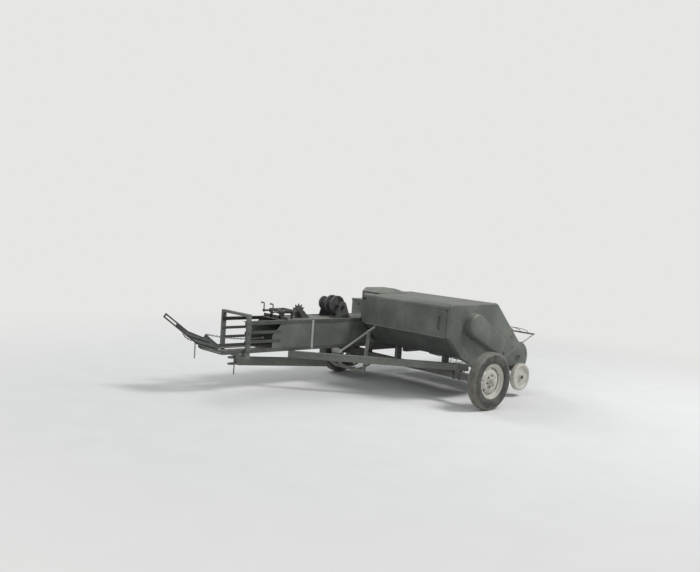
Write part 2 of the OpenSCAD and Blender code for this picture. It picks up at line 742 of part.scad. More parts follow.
module pickup_frame() color(paint) {
    difference() {
        for (y = [pickup_y[0], pickup_y[1] - plate_t]) pickup_plate(y);
        cross_disc(pickup_pivot, pivot_pin_r + run, pickup_y[0] - 10, pickup_y[1] + 10);
        cross_disc(reel_c, 22 + run, pickup_y[0] - 10, pickup_y[1] + 10);
    }
    cross_disc(tie_c, tie_r, pickup_y[0] + plate_t, pickup_y[1] - plate_t);
    edge = plate_t + band_edge + band_gap / 2;
    span([skirt_x - 5, pickup_y[0] + plate_t, 420], [skirt_x, pickup_y[1] - plate_t, skirt_top - 25]);
    span([skirt_x - 5, pickup_y[0] + edge, skirt_top - 26], [skirt_x, pickup_y[1] - edge, skirt_top]);
    pin = guard_hub_w + 3;
    for (s = [0, 1]) cross_disc(guard_pivot, guard_pin_r,
        s > 0 ? pickup_y[1] - plate_t - pin : pickup_y[0] + plate_t,
        s > 0 ? pickup_y[1] - plate_t : pickup_y[0] + plate_t + pin);
}

module band_outline(r) {
    translate(reel_c) circle(r);
    polygon([reel_c + [0, r], [skirt_x + seat, skirt_top + (r - band_r)],
        [skirt_x + seat, 430 - (r - band_r)],
        reel_c + [0, -r]]);
}

module stripper_bands() color(paint_light) for (i = [0:band_count - 1]) {
    y = pickup_y[0] + plate_t + band_edge + (i + 0.5) * band_pitch;
    across(y - (band_pitch - band_gap) / 2, y + (band_pitch - band_gap) / 2) difference() {
        band_outline(band_r);
        band_outline(band_r - band_t);
        translate([skirt_x - 100, 300]) square([100, 400]);
    }
}

module pickup_reel() color(bare_steel) {
    cross_disc(reel_c, 22, pickup_y[0] + 2, pickup_y[1] - 2);
    for (y = [pickup_y[0] + 40, (pickup_y[0] + pickup_y[1]) / 2 - 3, pickup_y[1] - 46])
        cross_disc(reel_c, 120, y, y + 6);
    for (k = [0:3]) {
        c = reel_c + 112 * [cos(k * 90), sin(k * 90)];
        cross_disc(c, 13, pickup_y[0] + 24, pickup_y[1] - 24);
        for (i = [0:band_count - 2]) {
            y = pickup_y[0] + plate_t + band_edge + (i + 1) * band_pitch;
            tip = reel_c + tine_r * [cos(k * 90 - 8), sin(k * 90 - 8)];
            rod([c[0], y, c[1]], [tip[0], y, tip[1]], 4, $fn = 16);
        }
    }
}

module wind_guard() color(bare_steel) {
    elbow = guard_pivot + [385, 13];
    in = plate_t + guard_hub_w / 2 + 2;
    for (y = [pickup_y[0] + in, pickup_y[1] - in]) {
        difference() {
            union() {
                cross_disc(guard_pivot, guard_pin_r + 10, y - guard_hub_w / 2, y + guard_hub_w / 2);
                rod([guard_pivot[0] + 14, y, guard_pivot[1] + 1], [elbow[0], y, elbow[1]], guard_arm_r);
            }
            cross_disc(guard_pivot, guard_pin_r + run, y - guard_hub_w, y + guard_hub_w);
        }
        cross_disc(elbow, guard_arm_r + 3, y - guard_arm_r - 1, y + guard_arm_r + 1);
        rod([elbow[0], y, elbow[1]], [guard_bar[0], y, guard_bar[1]], guard_arm_r);
    }
    cross_disc(guard_bar, 11, pickup_y[0] + plate_t, pickup_y[1] - plate_t);
    for (i = [0:9]) {
        y = pickup_y[0] + 110 + i * (pickup_y[1] - pickup_y[0] - 220) / 9;
        rod([guard_bar[0], y, guard_bar[1]], [finger_bend[0], y, finger_bend[1]], finger_r);
        cross_disc(finger_bend, finger_r + 3, y - finger_r - 1, y + finger_r + 1);
        rod([finger_bend[0], y, finger_bend[1]], [finger_tip[0], y, finger_tip[1]], finger_r);
    }
}

module gauge_bracket() color(paint_dark) {
    y = pickup_y[0] - 60;
    cross_disc(gauge_c, 15, gauge_y - gauge_w / 2 - 12, y + 12);
    across(y, y + 12) polygon([[gauge_c[0] - 26, gauge_c[1] - 20], [gauge_c[0] + 26, gauge_c[1] - 20],
        [gauge_c[0] + 26, gauge_c[1] + 150], [gauge_c[0] - 26, gauge_c[1] + 150]]);
    span([gauge_c[0] - 20, y + 12, gauge_c[1] + 85], [gauge_c[0] + 20, pickup_y[0], gauge_c[1] + 125]);
}

module gauge_wheel() color(wheel_paint) difference() {
    translate([gauge_c[0], gauge_y, gauge_c[1]]) rotate([90, 0, 0]) rotate_extrude($fn = 64) polygon([
        [18, -30], [34, -30], [40, -10], [gauge_r - 54, -10], [gauge_r - 34, -26],
        [gauge_r - 20, -gauge_w / 2], [gauge_r - 5, -gauge_w / 2 + 8], [gauge_r, -gauge_w / 2 + 20],
        [gauge_r, gauge_w / 2 - 20], [gauge_r - 5, gauge_w / 2 - 8], [gauge_r - 20, gauge_w / 2],
        [gauge_r - 34, 10], [gauge_r - 54, 2], [40, 2], [34, 24], [14, 24]]);
    cross_disc(gauge_c, 15 + run, gauge_y - gauge_w, gauge_y + gauge_w);
}

// Drawbar and drive line

module drawbar() color(paint) {
    w = drawbar_box[0];
    h = drawbar_box[1];
    difference() {
        union() {
            span([swing_x + 80, -w / 2, drawbar_z - h / 2], [hitch_x - 60, w / 2, drawbar_z + h / 2]);
            for (z = [drawbar_z - ear_t - 6 - 14, drawbar_z + ear_t + 6]) {
                span([swing_x, -44, z], [swing_x + 81, 44, z + 14]);
                translate([swing_x, 0, z]) cylinder(h = 14, r = 44);
            }
            for (z = [drawbar_z - h / 2, drawbar_z + h / 2 - 18]) {
                span([hitch_x - 61, -hitch_r, z], [hitch_x, hitch_r, z + 18]);
                translate([hitch_x, 0, z]) cylinder(h = 18, r = hitch_r);
            }
        }
        translate([swing_x, 0, drawbar_z - 60]) cylinder(h = 120, r = swing_pin_r + run);
        translate([hitch_x, 0, drawbar_z - 60]) cylinder(h = 120, r = hitch_bore_r);
    }
    cross_disc([jack_x, drawbar_z], jack_pin_r, w / 2, jack_y - 33);
}

module pto_stand() color(paint_dark) difference() {
    union() {
        span([stand_x - 8, -45, drawbar_z + drawbar_box[1] / 2], [stand_x + 8, 45, drive_z - 20]);
        span([stand_x - 60, -48, drawbar_z + drawbar_box[1] / 2],
            [stand_x + 60, 48, drawbar_z + drawbar_box[1] / 2 + 8]);
        long_disc(stand_x - 22, stand_x + 22, drive_z, 52);
    }
    long_disc(stand_x - 40, stand_x + 40, drive_z, shaft_r + run);
}

module pto_shaft() color(bare_steel) {
    difference() {
        union() {
            long_disc(swing_x + 55, yoke_end_x - 60, drive_z, shaft_r);
            long_disc(swing_x - 30, swing_x + 62, drive_z, 75);
            long_disc(yoke_end_x - 150, yoke_end_x, drive_z, 34);
        }
        long_disc(swing_x - 31, swing_x + 54, drive_z, 66);
        long_disc(yoke_end_x - 76, yoke_end_x + 1, drive_z, spline_bore_r);
    }
}

module jack_tube() color(paint_light) {
    x = jack_x + jack_lead;
    difference() {
        translate([x, jack_y, drawbar_z - 150]) cylinder(h = 420, r = 32);
        translate([x, jack_y, drawbar_z - 151]) cylinder(h = 400, r = 26);
    }
    difference() {
        span([jack_x - 30, jack_y - 40, drawbar_z - 34], [x + 20, jack_y - 29, drawbar_z + 34]);
        cross_disc([jack_x, drawbar_z], jack_pin_r + run, 0, jack_y - 32);
        translate([x, jack_y, drawbar_z - 151]) cylinder(h = 400, r = 26);
    }
    rod([x, jack_y, drawbar_z + 285], [x + 120, jack_y, drawbar_z + 285], 8);
    rod([x + 112, jack_y, drawbar_z + 285], [x + 112, jack_y + 80, drawbar_z + 285], 9);
    translate([x, jack_y, drawbar_z + 268]) cylinder(h = 26, r = 22);
}

module jack_foot() color(bare_steel) {
    x = jack_x + jack_lead;
    translate([x, jack_y, 0]) cylinder(h = 10, r = jack_foot_r);
    translate([x, jack_y, 9]) cylinder(h = drawbar_z + 60, r = 26 - seat);
}

// Twine box beside the case

// A disc along x, round the lid's hinge line
module lid_disc(x0, x1, r) {
    translate([x0, lid_axis[0], lid_axis[1]]) rotate([0, 90, 0]) cylinder(h = x1 - x0, r = r);
}

module twine_box() color(paint) {
    difference() {
        span([box_x[0], box_y[0], box_z[0]], [box_x[1], box_y[1], box_z[1]]);
        span([box_x[0] + box_t, box_y[0] + box_t, box_z[0] + box_t],
            [box_x[1] - box_t, box_y[1] - box_t, box_z[1] + 1]);
    }
    for (x = [box_x[0] + 60, box_x[1] - 110])
        span([x, case_half, box_z[0] - 40], [x + 50, box_y[1] - 60, box_z[0]]);
    for (x = [box_x[0] + 40, box_x[1] - 100]) {
        lid_disc(x, x + 60, knuckle_r);
        span([x, lid_axis[0], lid_axis[1] - 14], [x + 60, box_y[0], lid_axis[1] - 3]);
        lid_disc(x + 60, x + 100 > box_x[1] ? x + 60 : x + 100, lid_pin_r);
        lid_disc(x - 40 < box_x[0] ? box_x[0] : x - 40, x, lid_pin_r);
    }
}

module twine_lid() color(paint_light) difference() {
    union() {
        span([box_x[0] - lid_lip, box_y[0] + 1, box_z[1] + seat],
            [box_x[1] + lid_lip, box_y[1] + lid_lip, box_z[1] + 4]);
        span([box_x[0] - lid_lip, box_y[1] + 2, box_z[1] - 20],
            [box_x[1] + lid_lip, box_y[1] + lid_lip, box_z[1] + 2]);
        for (x = [box_x[0] + 101, box_x[1] - 139]) {
            lid_disc(x, x + 38, knuckle_r);
            span([x, lid_axis[0], box_z[1] + seat], [x + 38, box_y[0] + 2, box_z[1] + 4]);
        }
    }
    lid_disc(box_x[0], box_x[1], lid_pin_r + run);
}

// Bale chute

module on_chute() {
    translate([chute_x, 0, chute_z]) rotate([0, chute_slope, 0]) children();
}

// A sheet with a slanting rear edge, a short wall at its right and a long slotted bar at its left
module bale_chute() color(paint_dark) {
    half = chute_w / 2;
    on_chute() {
        translate([0, 0, -2]) linear_extrude(4) polygon([
            [-6, -half], [-6, half], [-chute_sheet[1], half], [-chute_sheet[0], -half]]);
        span([-chute_sheet[0], -half, 1], [-chute_lead, 4 - half, chute_wall]);
        rod([-chute_sheet[0], 2 - half, chute_wall], [-chute_lead, 2 - half, chute_wall], chute_rod_r);
        difference() {
            span([-chute_l, half - 8, bar_z[0]], [-chute_lead, half, bar_z[1]]);
            span([-bar_slot_x[1], half - 9, bar_slot_z[0]], [-bar_slot_x[0], half + 1, bar_slot_z[1]]);
        }
    }
    cross_disc([chute_x, chute_z], chute_pin_r, -case_out - 2, case_out + 2);
}

// A chain end hanging from the chute's left side
module chute_chains() color(bare_steel) {
    hook = [chute_x - chain_hook * cos(chute_slope), chute_z + chain_hook * sin(chute_slope)];
    y = chute_w / 2 + chain_r + seat;
    rod([hook[0], y, hook[1] - chain_l], [hook[0], y, hook[1] + 4], chain_r);
}

translate(-mid) case_floor();
translate(-mid) case_side_right();
translate(-mid) case_side_left();
translate(-mid) case_top();
translate(-mid) lower_rails();
translate(-mid) upper_rails();
translate(-mid) side_rails();
translate(-mid) tension_gear();
translate(-mid) rear_hoop();
translate(-mid) knotter_frame();
translate(-mid) metering_arm();
translate(-mid) knotter_shaft();
translate(-mid) metering_wheel();
translate(-mid) needle_yoke();
translate(-mid) front_frame();
translate(-mid) gearbox();
translate(-mid) flywheel();
translate(-mid) axle();
translate(-mid) diagonal_beam();
translate(-mid) feeder_stay();
translate(-mid) wagon_hitch();
translate(-mid) hitch_beam();
translate(-mid) wagon_pin();
translate(-mid) wheel_right();
translate(-mid) tyre_right();
translate(-mid) wheel_left();
translate(-mid) tyre_left();
translate(-mid) hood_shell();
translate(-mid) hood_end_panel();
translate(-mid) hood_hump();
translate(-mid) drive_cover();
translate(-mid) rear_door();
translate(-mid) door_latch();
translate(-mid) feeder_deck();
translate(-mid) auger();
translate(-mid) pickup_frame();
translate(-mid) stripper_bands();
translate(-mid) pickup_reel();
translate(-mid) wind_guard();
translate(-mid) gauge_bracket();
translate(-mid) gauge_wheel();
translate(-mid) drawbar();
translate(-mid) pto_stand();
translate(-mid) pto_shaft();
translate(-mid) jack_tube();
translate(-mid) jack_foot();
translate(-mid) twine_box();
translate(-mid) twine_lid();
translate(-mid) bale_chute();
translate(-mid) chute_chains();
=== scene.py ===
"""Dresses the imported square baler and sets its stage, its lamps and its camera.

Sizes are in millimetres on the maker's axes: x forward from the axle, y to the left from the middle of
the bale case, z up from the ground. place() turns them into the frame's metres.
"""

from __future__ import annotations

import json
import logging
import math
from dataclasses import dataclass
from enum import Enum

import bmesh
import bpy
import numpy as np
from mathutils import Matrix, Vector

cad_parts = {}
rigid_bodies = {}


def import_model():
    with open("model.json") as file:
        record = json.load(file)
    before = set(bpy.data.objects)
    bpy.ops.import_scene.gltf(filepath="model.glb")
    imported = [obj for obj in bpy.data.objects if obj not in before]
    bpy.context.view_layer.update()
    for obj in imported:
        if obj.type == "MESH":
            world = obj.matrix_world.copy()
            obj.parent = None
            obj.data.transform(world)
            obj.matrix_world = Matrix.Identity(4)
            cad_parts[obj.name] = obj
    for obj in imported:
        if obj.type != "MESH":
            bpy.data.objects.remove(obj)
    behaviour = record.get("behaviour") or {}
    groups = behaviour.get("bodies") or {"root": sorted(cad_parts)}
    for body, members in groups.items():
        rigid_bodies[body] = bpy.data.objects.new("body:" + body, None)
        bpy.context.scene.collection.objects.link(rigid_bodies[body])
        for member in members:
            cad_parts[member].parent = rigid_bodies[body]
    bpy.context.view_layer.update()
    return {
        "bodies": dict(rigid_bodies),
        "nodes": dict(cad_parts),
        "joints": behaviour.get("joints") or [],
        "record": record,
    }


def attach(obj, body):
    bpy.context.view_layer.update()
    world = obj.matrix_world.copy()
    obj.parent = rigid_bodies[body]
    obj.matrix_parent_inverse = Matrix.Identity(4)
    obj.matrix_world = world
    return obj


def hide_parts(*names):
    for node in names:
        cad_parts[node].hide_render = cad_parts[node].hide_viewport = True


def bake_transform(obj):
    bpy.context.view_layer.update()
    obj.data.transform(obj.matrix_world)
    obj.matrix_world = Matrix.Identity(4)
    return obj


LOG = logging.getLogger("baler")
Array = np.ndarray
Point = tuple[float, float, float]
CENTRE = np.array((30.44937, -817, 0))  # The frame's origin on the maker's axes, in millimetres
SHARP = 34  # Degrees over which an edge stays sharp
RIM_ANGLE = 38  # Degrees over which an edge is bevelled
MERGE = 2e-6  # Metres within which two points are one


def place(points: Array | list | tuple) -> Array:
    """Turns millimetres on the maker's axes into metres in the frame.

    Args:
        points: One point, or rows of points.

    Returns:
        Rows of points in metres.
    """
    return (np.atleast_2d(np.asarray(points, float)) - CENTRE) / 1000


def turn(steps: int) -> Array:
    """The angles of a full turn in equal steps, in radians."""
    return np.linspace(0, 2 * math.pi, steps, endpoint=False)


def ring(radius: float, steps: int) -> Array:
    """A circle as (u, v) rows: u = radius cos t and v = radius sin t."""
    t = turn(steps)
    return radius * stack(np.cos(t), np.sin(t))


def bend(centre: Array | tuple[float, float], radius: float, first: float, last: float, steps: int) -> Array:
    """Points on a circle's arc between two angles in degrees, both ends included."""
    t = np.radians(np.linspace(first, last, steps + 1))
    return np.asarray(centre, float) + radius * stack(np.cos(t), np.sin(t))


def quads(rows: int, cols: int, wrap_rows: bool, wrap_cols: bool) -> Array:
    """The quads of a grid of points, row by row.

    Args:
        rows: Rows of points.
        cols: Points in a row.
        wrap_rows: Whether the last row joins the first.
        wrap_cols: Whether a row's last point joins its first.

    Returns:
        An (n, 4) array of point numbers.
    """
    r = np.arange(rows if wrap_rows else rows - 1)
    c = np.arange(cols if wrap_cols else cols - 1)
    r, c = (g.ravel() for g in np.meshgrid(r, c, indexing="ij"))
    r1, c1 = (r + 1) % rows, (c + 1) % cols
    return np.stack((r * cols + c, r * cols + c1, r1 * cols + c1, r1 * cols + c), 1)


def stack(*columns: Array | float) -> Array:
    """Rows of numbers from columns, where a single number stands for a whole column."""
    return np.stack(np.broadcast_arrays(*columns), -1)


def tube(rows: int, cols: int) -> tuple[Array, Array, Array]:
    """The faces of a closed tube: the quads round it, and its two ends."""
    end = np.arange(cols)[None]
    return quads(rows, cols, False, True), end, (rows - 1) * cols + end


def least(line: Array) -> Array:
    """The axis that a line runs along least."""
    return np.eye(3)[int(np.argmin(np.abs(line)))]


def crossed(line: Array | Point) -> tuple[Array, Array, Array]:
    """A line's direction and two directions at right angles to it, all of length 1."""
    n = np.asarray(line, float) / np.linalg.norm(line)
    u = np.cross(n, least(n))
    u /= np.linalg.norm(u)
    return n, u, np.cross(n, u)


def slab(wide: float, deep: float) -> Array:
    """A rectangle's outline about its middle, from half its width and half its depth."""
    return np.array(((-wide, -deep), (wide, -deep), (wide, deep), (-wide, deep)))


def mirror(profile: list) -> list:
    """A profile's other half: its rows backwards, with their second number's sign turned."""
    return [(r, -a) for r, a in profile[::-1]]


def around(centre: Point, radius: float, angles: Array | tuple) -> Array:
    """Points on an upright circle along x and z: centre + radius (cos a, 0, sin a), in degrees."""
    a = np.radians(angles)
    return np.asarray(centre, float) + radius * stack(np.cos(a), 0, np.sin(a))


def settled(shape: bmesh.types.BMesh, name: str, data: bpy.types.Mesh, sharp: float) -> bpy.types.Object:
    """Writes a working mesh back, shades it and makes its object.

    Args:
        shape: The working mesh, which is freed.
        name: The object's name.
        data: The mesh that takes it.
        sharp: The angle in degrees over which an edge stays sharp.

    Returns:
        The new object.
    """
    shape.to_mesh(data)
    shape.free()
    data.shade_smooth()
    data.set_sharp_from_angle(angle=math.radians(sharp))
    thing = bpy.data.objects.new(name, data)
    bpy.context.scene.collection.objects.link(thing)
    return thing


class Axis(Enum):
    """The axis that a turned or an extruded shape is made on, as the order of its (u, v, along) sizes."""

    X = (2, 0, 1)
    Y = (0, 2, 1)
    Z = (0, 1, 2)

    def lay(self, u: Array, v: Array, along: Array | float) -> Array:
        """Puts the two outline sizes and the size along the axis in x, y, z order."""
        if self is Axis.X:
            return stack(along, u, v)
        return stack(u, along, v) if self is Axis.Y else stack(u, v, along)


class Form:
    """Closed shapes gathered as arrays of points and faces, made into one mesh at the end."""

    def __init__(self) -> None:
        """Starts with no points and no faces."""
        self.points: list[Array] = []
        self.faces: list[Array] = []
        self.count = 0

    def patch(self, points: Array, *faces: Array) -> Form:
        """Adds points, and faces that number them from 0.

        Args:
            points: Rows of points in millimetres.
            faces: Arrays of point numbers, one row a face.

        Returns:
            This form, so that calls can be chained.
        """
        points = np.asarray(points, float).reshape(-1, 3)
        self.points.append(points)
        self.faces += [np.atleast_2d(f) + self.count for f in faces]
        self.count += len(points)
        return self

    def sweep(self, path: Array, outline: Array, up: Point | Array = (0, 0, 1), closed: bool = False) -> Form:
        """Carries an outline along a path: point = path + u (up x tangent) + v (tangent x that).

        Args:
            path: Rows of points, or a closed loop of them.
            outline: Rows of (u, v), the same for all points, or one set for each point of the path.
            up: A direction that the path never runs along.
            closed: Whether the path joins its own start.

        Returns:
            This form.
        """
        path = np.asarray(path, float)
        if closed:
            tangent = np.roll(path, -1, 0) - np.roll(path, 1, 0)
        else:
            tangent = np.gradient(path, axis=0)
        tangent /= np.linalg.norm(tangent, axis=1)[:, None]
        side = np.cross(np.asarray(up, float), tangent)
        side /= np.linalg.norm(side, axis=1)[:, None]
        rise = np.cross(tangent, side)
        outline = np.asarray(outline, float)
        if outline.ndim == 2:
            outline = np.broadcast_to(outline, (len(path), *outline.shape))
        points = path[:, None] + outline[..., :1] * side[:, None] + outline[..., 1:] * rise[:, None]
        n, m = points.shape[:2]
        ends = [] if closed else [np.arange(m)[None], (n - 1) * m + np.arange(m)[None]]
        return self.patch(points, quads(n, m, closed, True), *ends)

    def rod(self, path: Array | list, radius: float, sides: int = 14, closed: bool = False,
            up: Point | None = None) -> Form:
        """A round bar along a path, with an up that suits the path if none is given."""
        path = np.asarray(path, float)
        if up is None:
            up = least(path[len(path) // 3 if closed else -1] - path[0])
        return self.sweep(path, ring(radius, sides), up, closed)

    def lathe(self, profile: Array | list, centre: Point, axis: Axis, steps: int = 48,
              shut: bool = False) -> Form:
        """Turns a profile of (radius, along) rows about an axis: u = r cos t, v = r sin t.

        Args:
            profile: Rows of radius and place along the axis.
            centre: The point that the profile is measured from.
            axis: The axis that it turns about.
            steps: Steps in a full turn.
            shut: Whether the profile is itself a closed ring.

        Returns:
            This form.
        """
        profile = np.asarray(profile, float)
        t = turn(steps)[:, None]
        r, a = profile[None, :, 0], profile[None, :, 1] + 0 * t
        points = axis.lay(r * np.cos(t), r * np.sin(t), a) + np.asarray(centre, float)
        return self.patch(points, quads(steps, len(profile), True, shut))

    def disc(self, centre: Point, radius: float, low: float, high: float, axis: Axis, steps: int = 40,
             bore: float = 0, soft: float = 1.5) -> Form:
        """A disc or ring between two places along its axis, its rims broken by a small chamfer."""
        rim = [(radius - soft, low), (radius, low + soft), (radius, high - soft), (radius - soft, high)]
        if bore > 0:
            return self.lathe([(bore, low), *rim, (bore, high)], centre, axis, steps, True)
        return self.lathe([(0, low), *rim, (0, high)], centre, axis, steps)

    def prism(self, outline: Array | list, axis: Axis, low: float, high: float) -> Form:
        """An outline carried straight along an axis."""
        outline = np.asarray(outline, float)
        return self.patch([axis.lay(*outline.T, a) for a in (low, high)], *tube(2, len(outline)))

    def box(self, low: Point, high: Point) -> Form:
        """A box between two corners."""
        (x0, y0, z0), (x1, y1, z1) = low, high
        return self.prism([(x0, y0), (x1, y0), (x1, y1), (x0, y1)], Axis.Z, z0, z1)

    def beam(self, start: Point, end: Point, deep: float, wide: float) -> Form:
        """A box beam between two points, with its deep side upright."""
        return self.sweep(np.array((start, end), float), slab(wide / 2, deep / 2))

    def coil(self, start: Point, end: Point, radius: float, wire: float, turns: float,
             sides: int = 7) -> Form:
        """A coil spring: a circle's point goes round the axis as it goes along it."""
        start, end = np.asarray(start, float), np.asarray(end, float)
        axis, u, v = crossed(end - start)
        t = np.linspace(0, 1, int(turns * 16) + 1)[:, None]
        a = 2 * math.pi * turns * t
        path = start + t * (end - start) + radius * (np.cos(a) * u + np.sin(a) * v)
        return self.sweep(path, ring(wire, sides), axis)

    def heads(self, spots: Array | list, normal: Point, levels: list, sides: int) -> Form:
        """Small turned shapes of (radius, height) levels at rows of points, standing out along a normal."""
        n, u, v = crossed(normal)
        shape = np.concatenate([ring(r, sides) @ np.stack((u, v)) + h * n for r, h in levels])
        for spot in np.atleast_2d(np.asarray(spots, float)):
            self.patch(shape + spot, *tube(len(levels), sides))
        return self

    def bolts(self, spots: Array | list, normal: Point, across: float = 19, head: float = 8) -> Form:
        """Hexagon heads on washers, at rows of points, standing out along a normal."""
        r, washer = across / math.sqrt(3), across * 0.72
        return self.heads(spots, normal, [(washer, -1), (washer, 2), (r, 2.01), (r, 1 + head * 0.8),
                                          (r * 0.82, 2 + head)], 6)

    def domes(self, spots: Array | list, normal: Point, radius: float = 8) -> Form:
        """Round rivet or coach-bolt heads: height = 0.55 r cos t over a radius r sin t."""
        levels = ((1, -0.12), (0.95, 0.2), (0.6, 0.46), (0.12, 0.55))
        return self.heads(spots, normal, [(radius * q, radius * h) for q, h in levels], 8)

    def weld(self, start: Point, end: Point, radius: float = 4) -> Form:
        """A weld bead: a bar whose radius swells by a seventh at every second of its 5 mm steps."""
        start, end = np.asarray(start, float), np.asarray(end, float)
        length = float(np.linalg.norm(end - start))
        n = max(4, int(length / 5))
        t = np.linspace(0, 1, n)[:, None]
        swell = radius * (1 + 0.14 * (np.arange(n) % 2))
        swell[[0, -1]] = radius * 0.4
        outline = ring(1, 6)[None] * swell[:, None, None]
        return self.sweep(start + t * (end - start), outline, least(end - start))

    def chain(self, path: Array | list, pitch: float = 26, wire: float = 3.2) -> Form:
        """Round-link chain: each link is a long loop, turned a quarter from the one before.

        Args:
            path: The points that the chain runs through.
            pitch: Inner length of a link.
            wire: Radius of its wire.

        Returns:
            This form.
        """
        path = np.asarray(path, float)
        gaps = np.linalg.norm(np.diff(path, axis=0), axis=1)
        run = np.concatenate(([0], np.cumsum(gaps)))
        marks = np.arange(pitch / 2, run[-1], pitch)
        for i, mark in enumerate(marks):
            at, ahead, behind = (np.array([np.interp(m, run, path[:, k]) for k in range(3)])
                                 for m in (mark, mark + pitch / 2, mark - pitch / 2))
            t, u, v = crossed(ahead - behind)
            side, face = (u, v) if i % 2 else (v, u)
            loop = np.concatenate((bend((pitch / 2 - wire, 0), pitch * 0.28, -90, 90, 5),
                                   bend((wire - pitch / 2, 0), pitch * 0.28, 90, 270, 5)))
            self.sweep(at + loop[:, :1] * t + loop[:, 1:] * side, ring(wire, 6), face, True)
        return self

    def gear(self, centre: Point, axis: Axis, radius: float, low: float, high: float, teeth: int,
             tall: float) -> Form:
        """A toothed wheel: the outline's radius steps between root and tip four times a tooth."""
        t = turn(teeth * 4)
        r = np.tile((radius - tall, radius, radius, radius - tall), teeth)
        outline = stack(r * np.cos(t), r * np.sin(t))
        spot = np.asarray(centre, float)
        mark = {Axis.X: spot[[1, 2]], Axis.Y: spot[[0, 2]], Axis.Z: spot[[0, 1]]}[axis]
        return self.prism(outline + mark, axis, low, high)

    def mesh(self, name: str, sharp: float = SHARP) -> bpy.types.Object:
        """Makes the mesh and its object, with doubles merged, faces outwards and soft shading.

        Args:
            name: The object's name.
            sharp: The angle in degrees over which an edge stays sharp.

        Returns:
            The new object.
        """
        points = place(np.concatenate(self.points))
        sizes = np.concatenate([np.full(len(f), f.shape[1]) for f in self.faces])
        loops = np.concatenate([f.ravel() for f in self.faces])
        data = bpy.data.meshes.new(name)
        data.vertices.add(len(points))
        data.vertices.foreach_set("co", points.astype(np.float32).ravel())
        data.loops.add(len(loops))
        data.loops.foreach_set("vertex_index", loops.astype(np.int32))
        data.polygons.add(len(sizes))
        data.polygons.foreach_set("loop_start", np.concatenate(([0], np.cumsum(sizes)[:-1])).astype(np.int32))
        data.update(calc_edges=True)
        data.validate()
        shape = bmesh.new()
        shape.from_mesh(data)
        bmesh.ops.remove_doubles(shape, verts=shape.verts, dist=MERGE)
        bmesh.ops.recalc_face_normals(shape, faces=shape.faces)
        return settled(shape, name, data, sharp)


def linear(code: str) -> tuple[float, float, float, float]:
    """Turns an sRGB hex value into a linear colour with full alpha."""
    parts = np.array([int(code[i:i + 2], 16) for i in (1, 3, 5)]) / 255
    line = np.where(parts <= 0.04045, parts / 12.92, ((parts + 0.055) / 1.055) ** 2.4)
    return (*(float(v) for v in line), 1)


def add(tree: bpy.types.NodeTree, kind: str, sockets: dict | None = None,
        **settings: object) -> bpy.types.Node:
    """Adds one shader node with its settings, and sets or links its sockets.

    Args:
        tree: The material's node tree.
        kind: The node's type, without ShaderNode before it.
        sockets: Input names or numbers, with the value or the output socket that each takes.
        settings: The node's own properties.

    Returns:
        The new node.
    """
    node = tree.nodes.new("ShaderNode" + kind)
    for key, value in settings.items():
        setattr(node, key, value)
    for key, value in (sockets or {}).items():
        if isinstance(value, bpy.types.NodeSocket):
            tree.links.new(value, node.inputs[key])
        else:
            node.inputs[key].default_value = value
    return node


def per(size: float) -> float:
    """The noise scale at which one feature is about that many millimetres across."""
    return 1000 / size


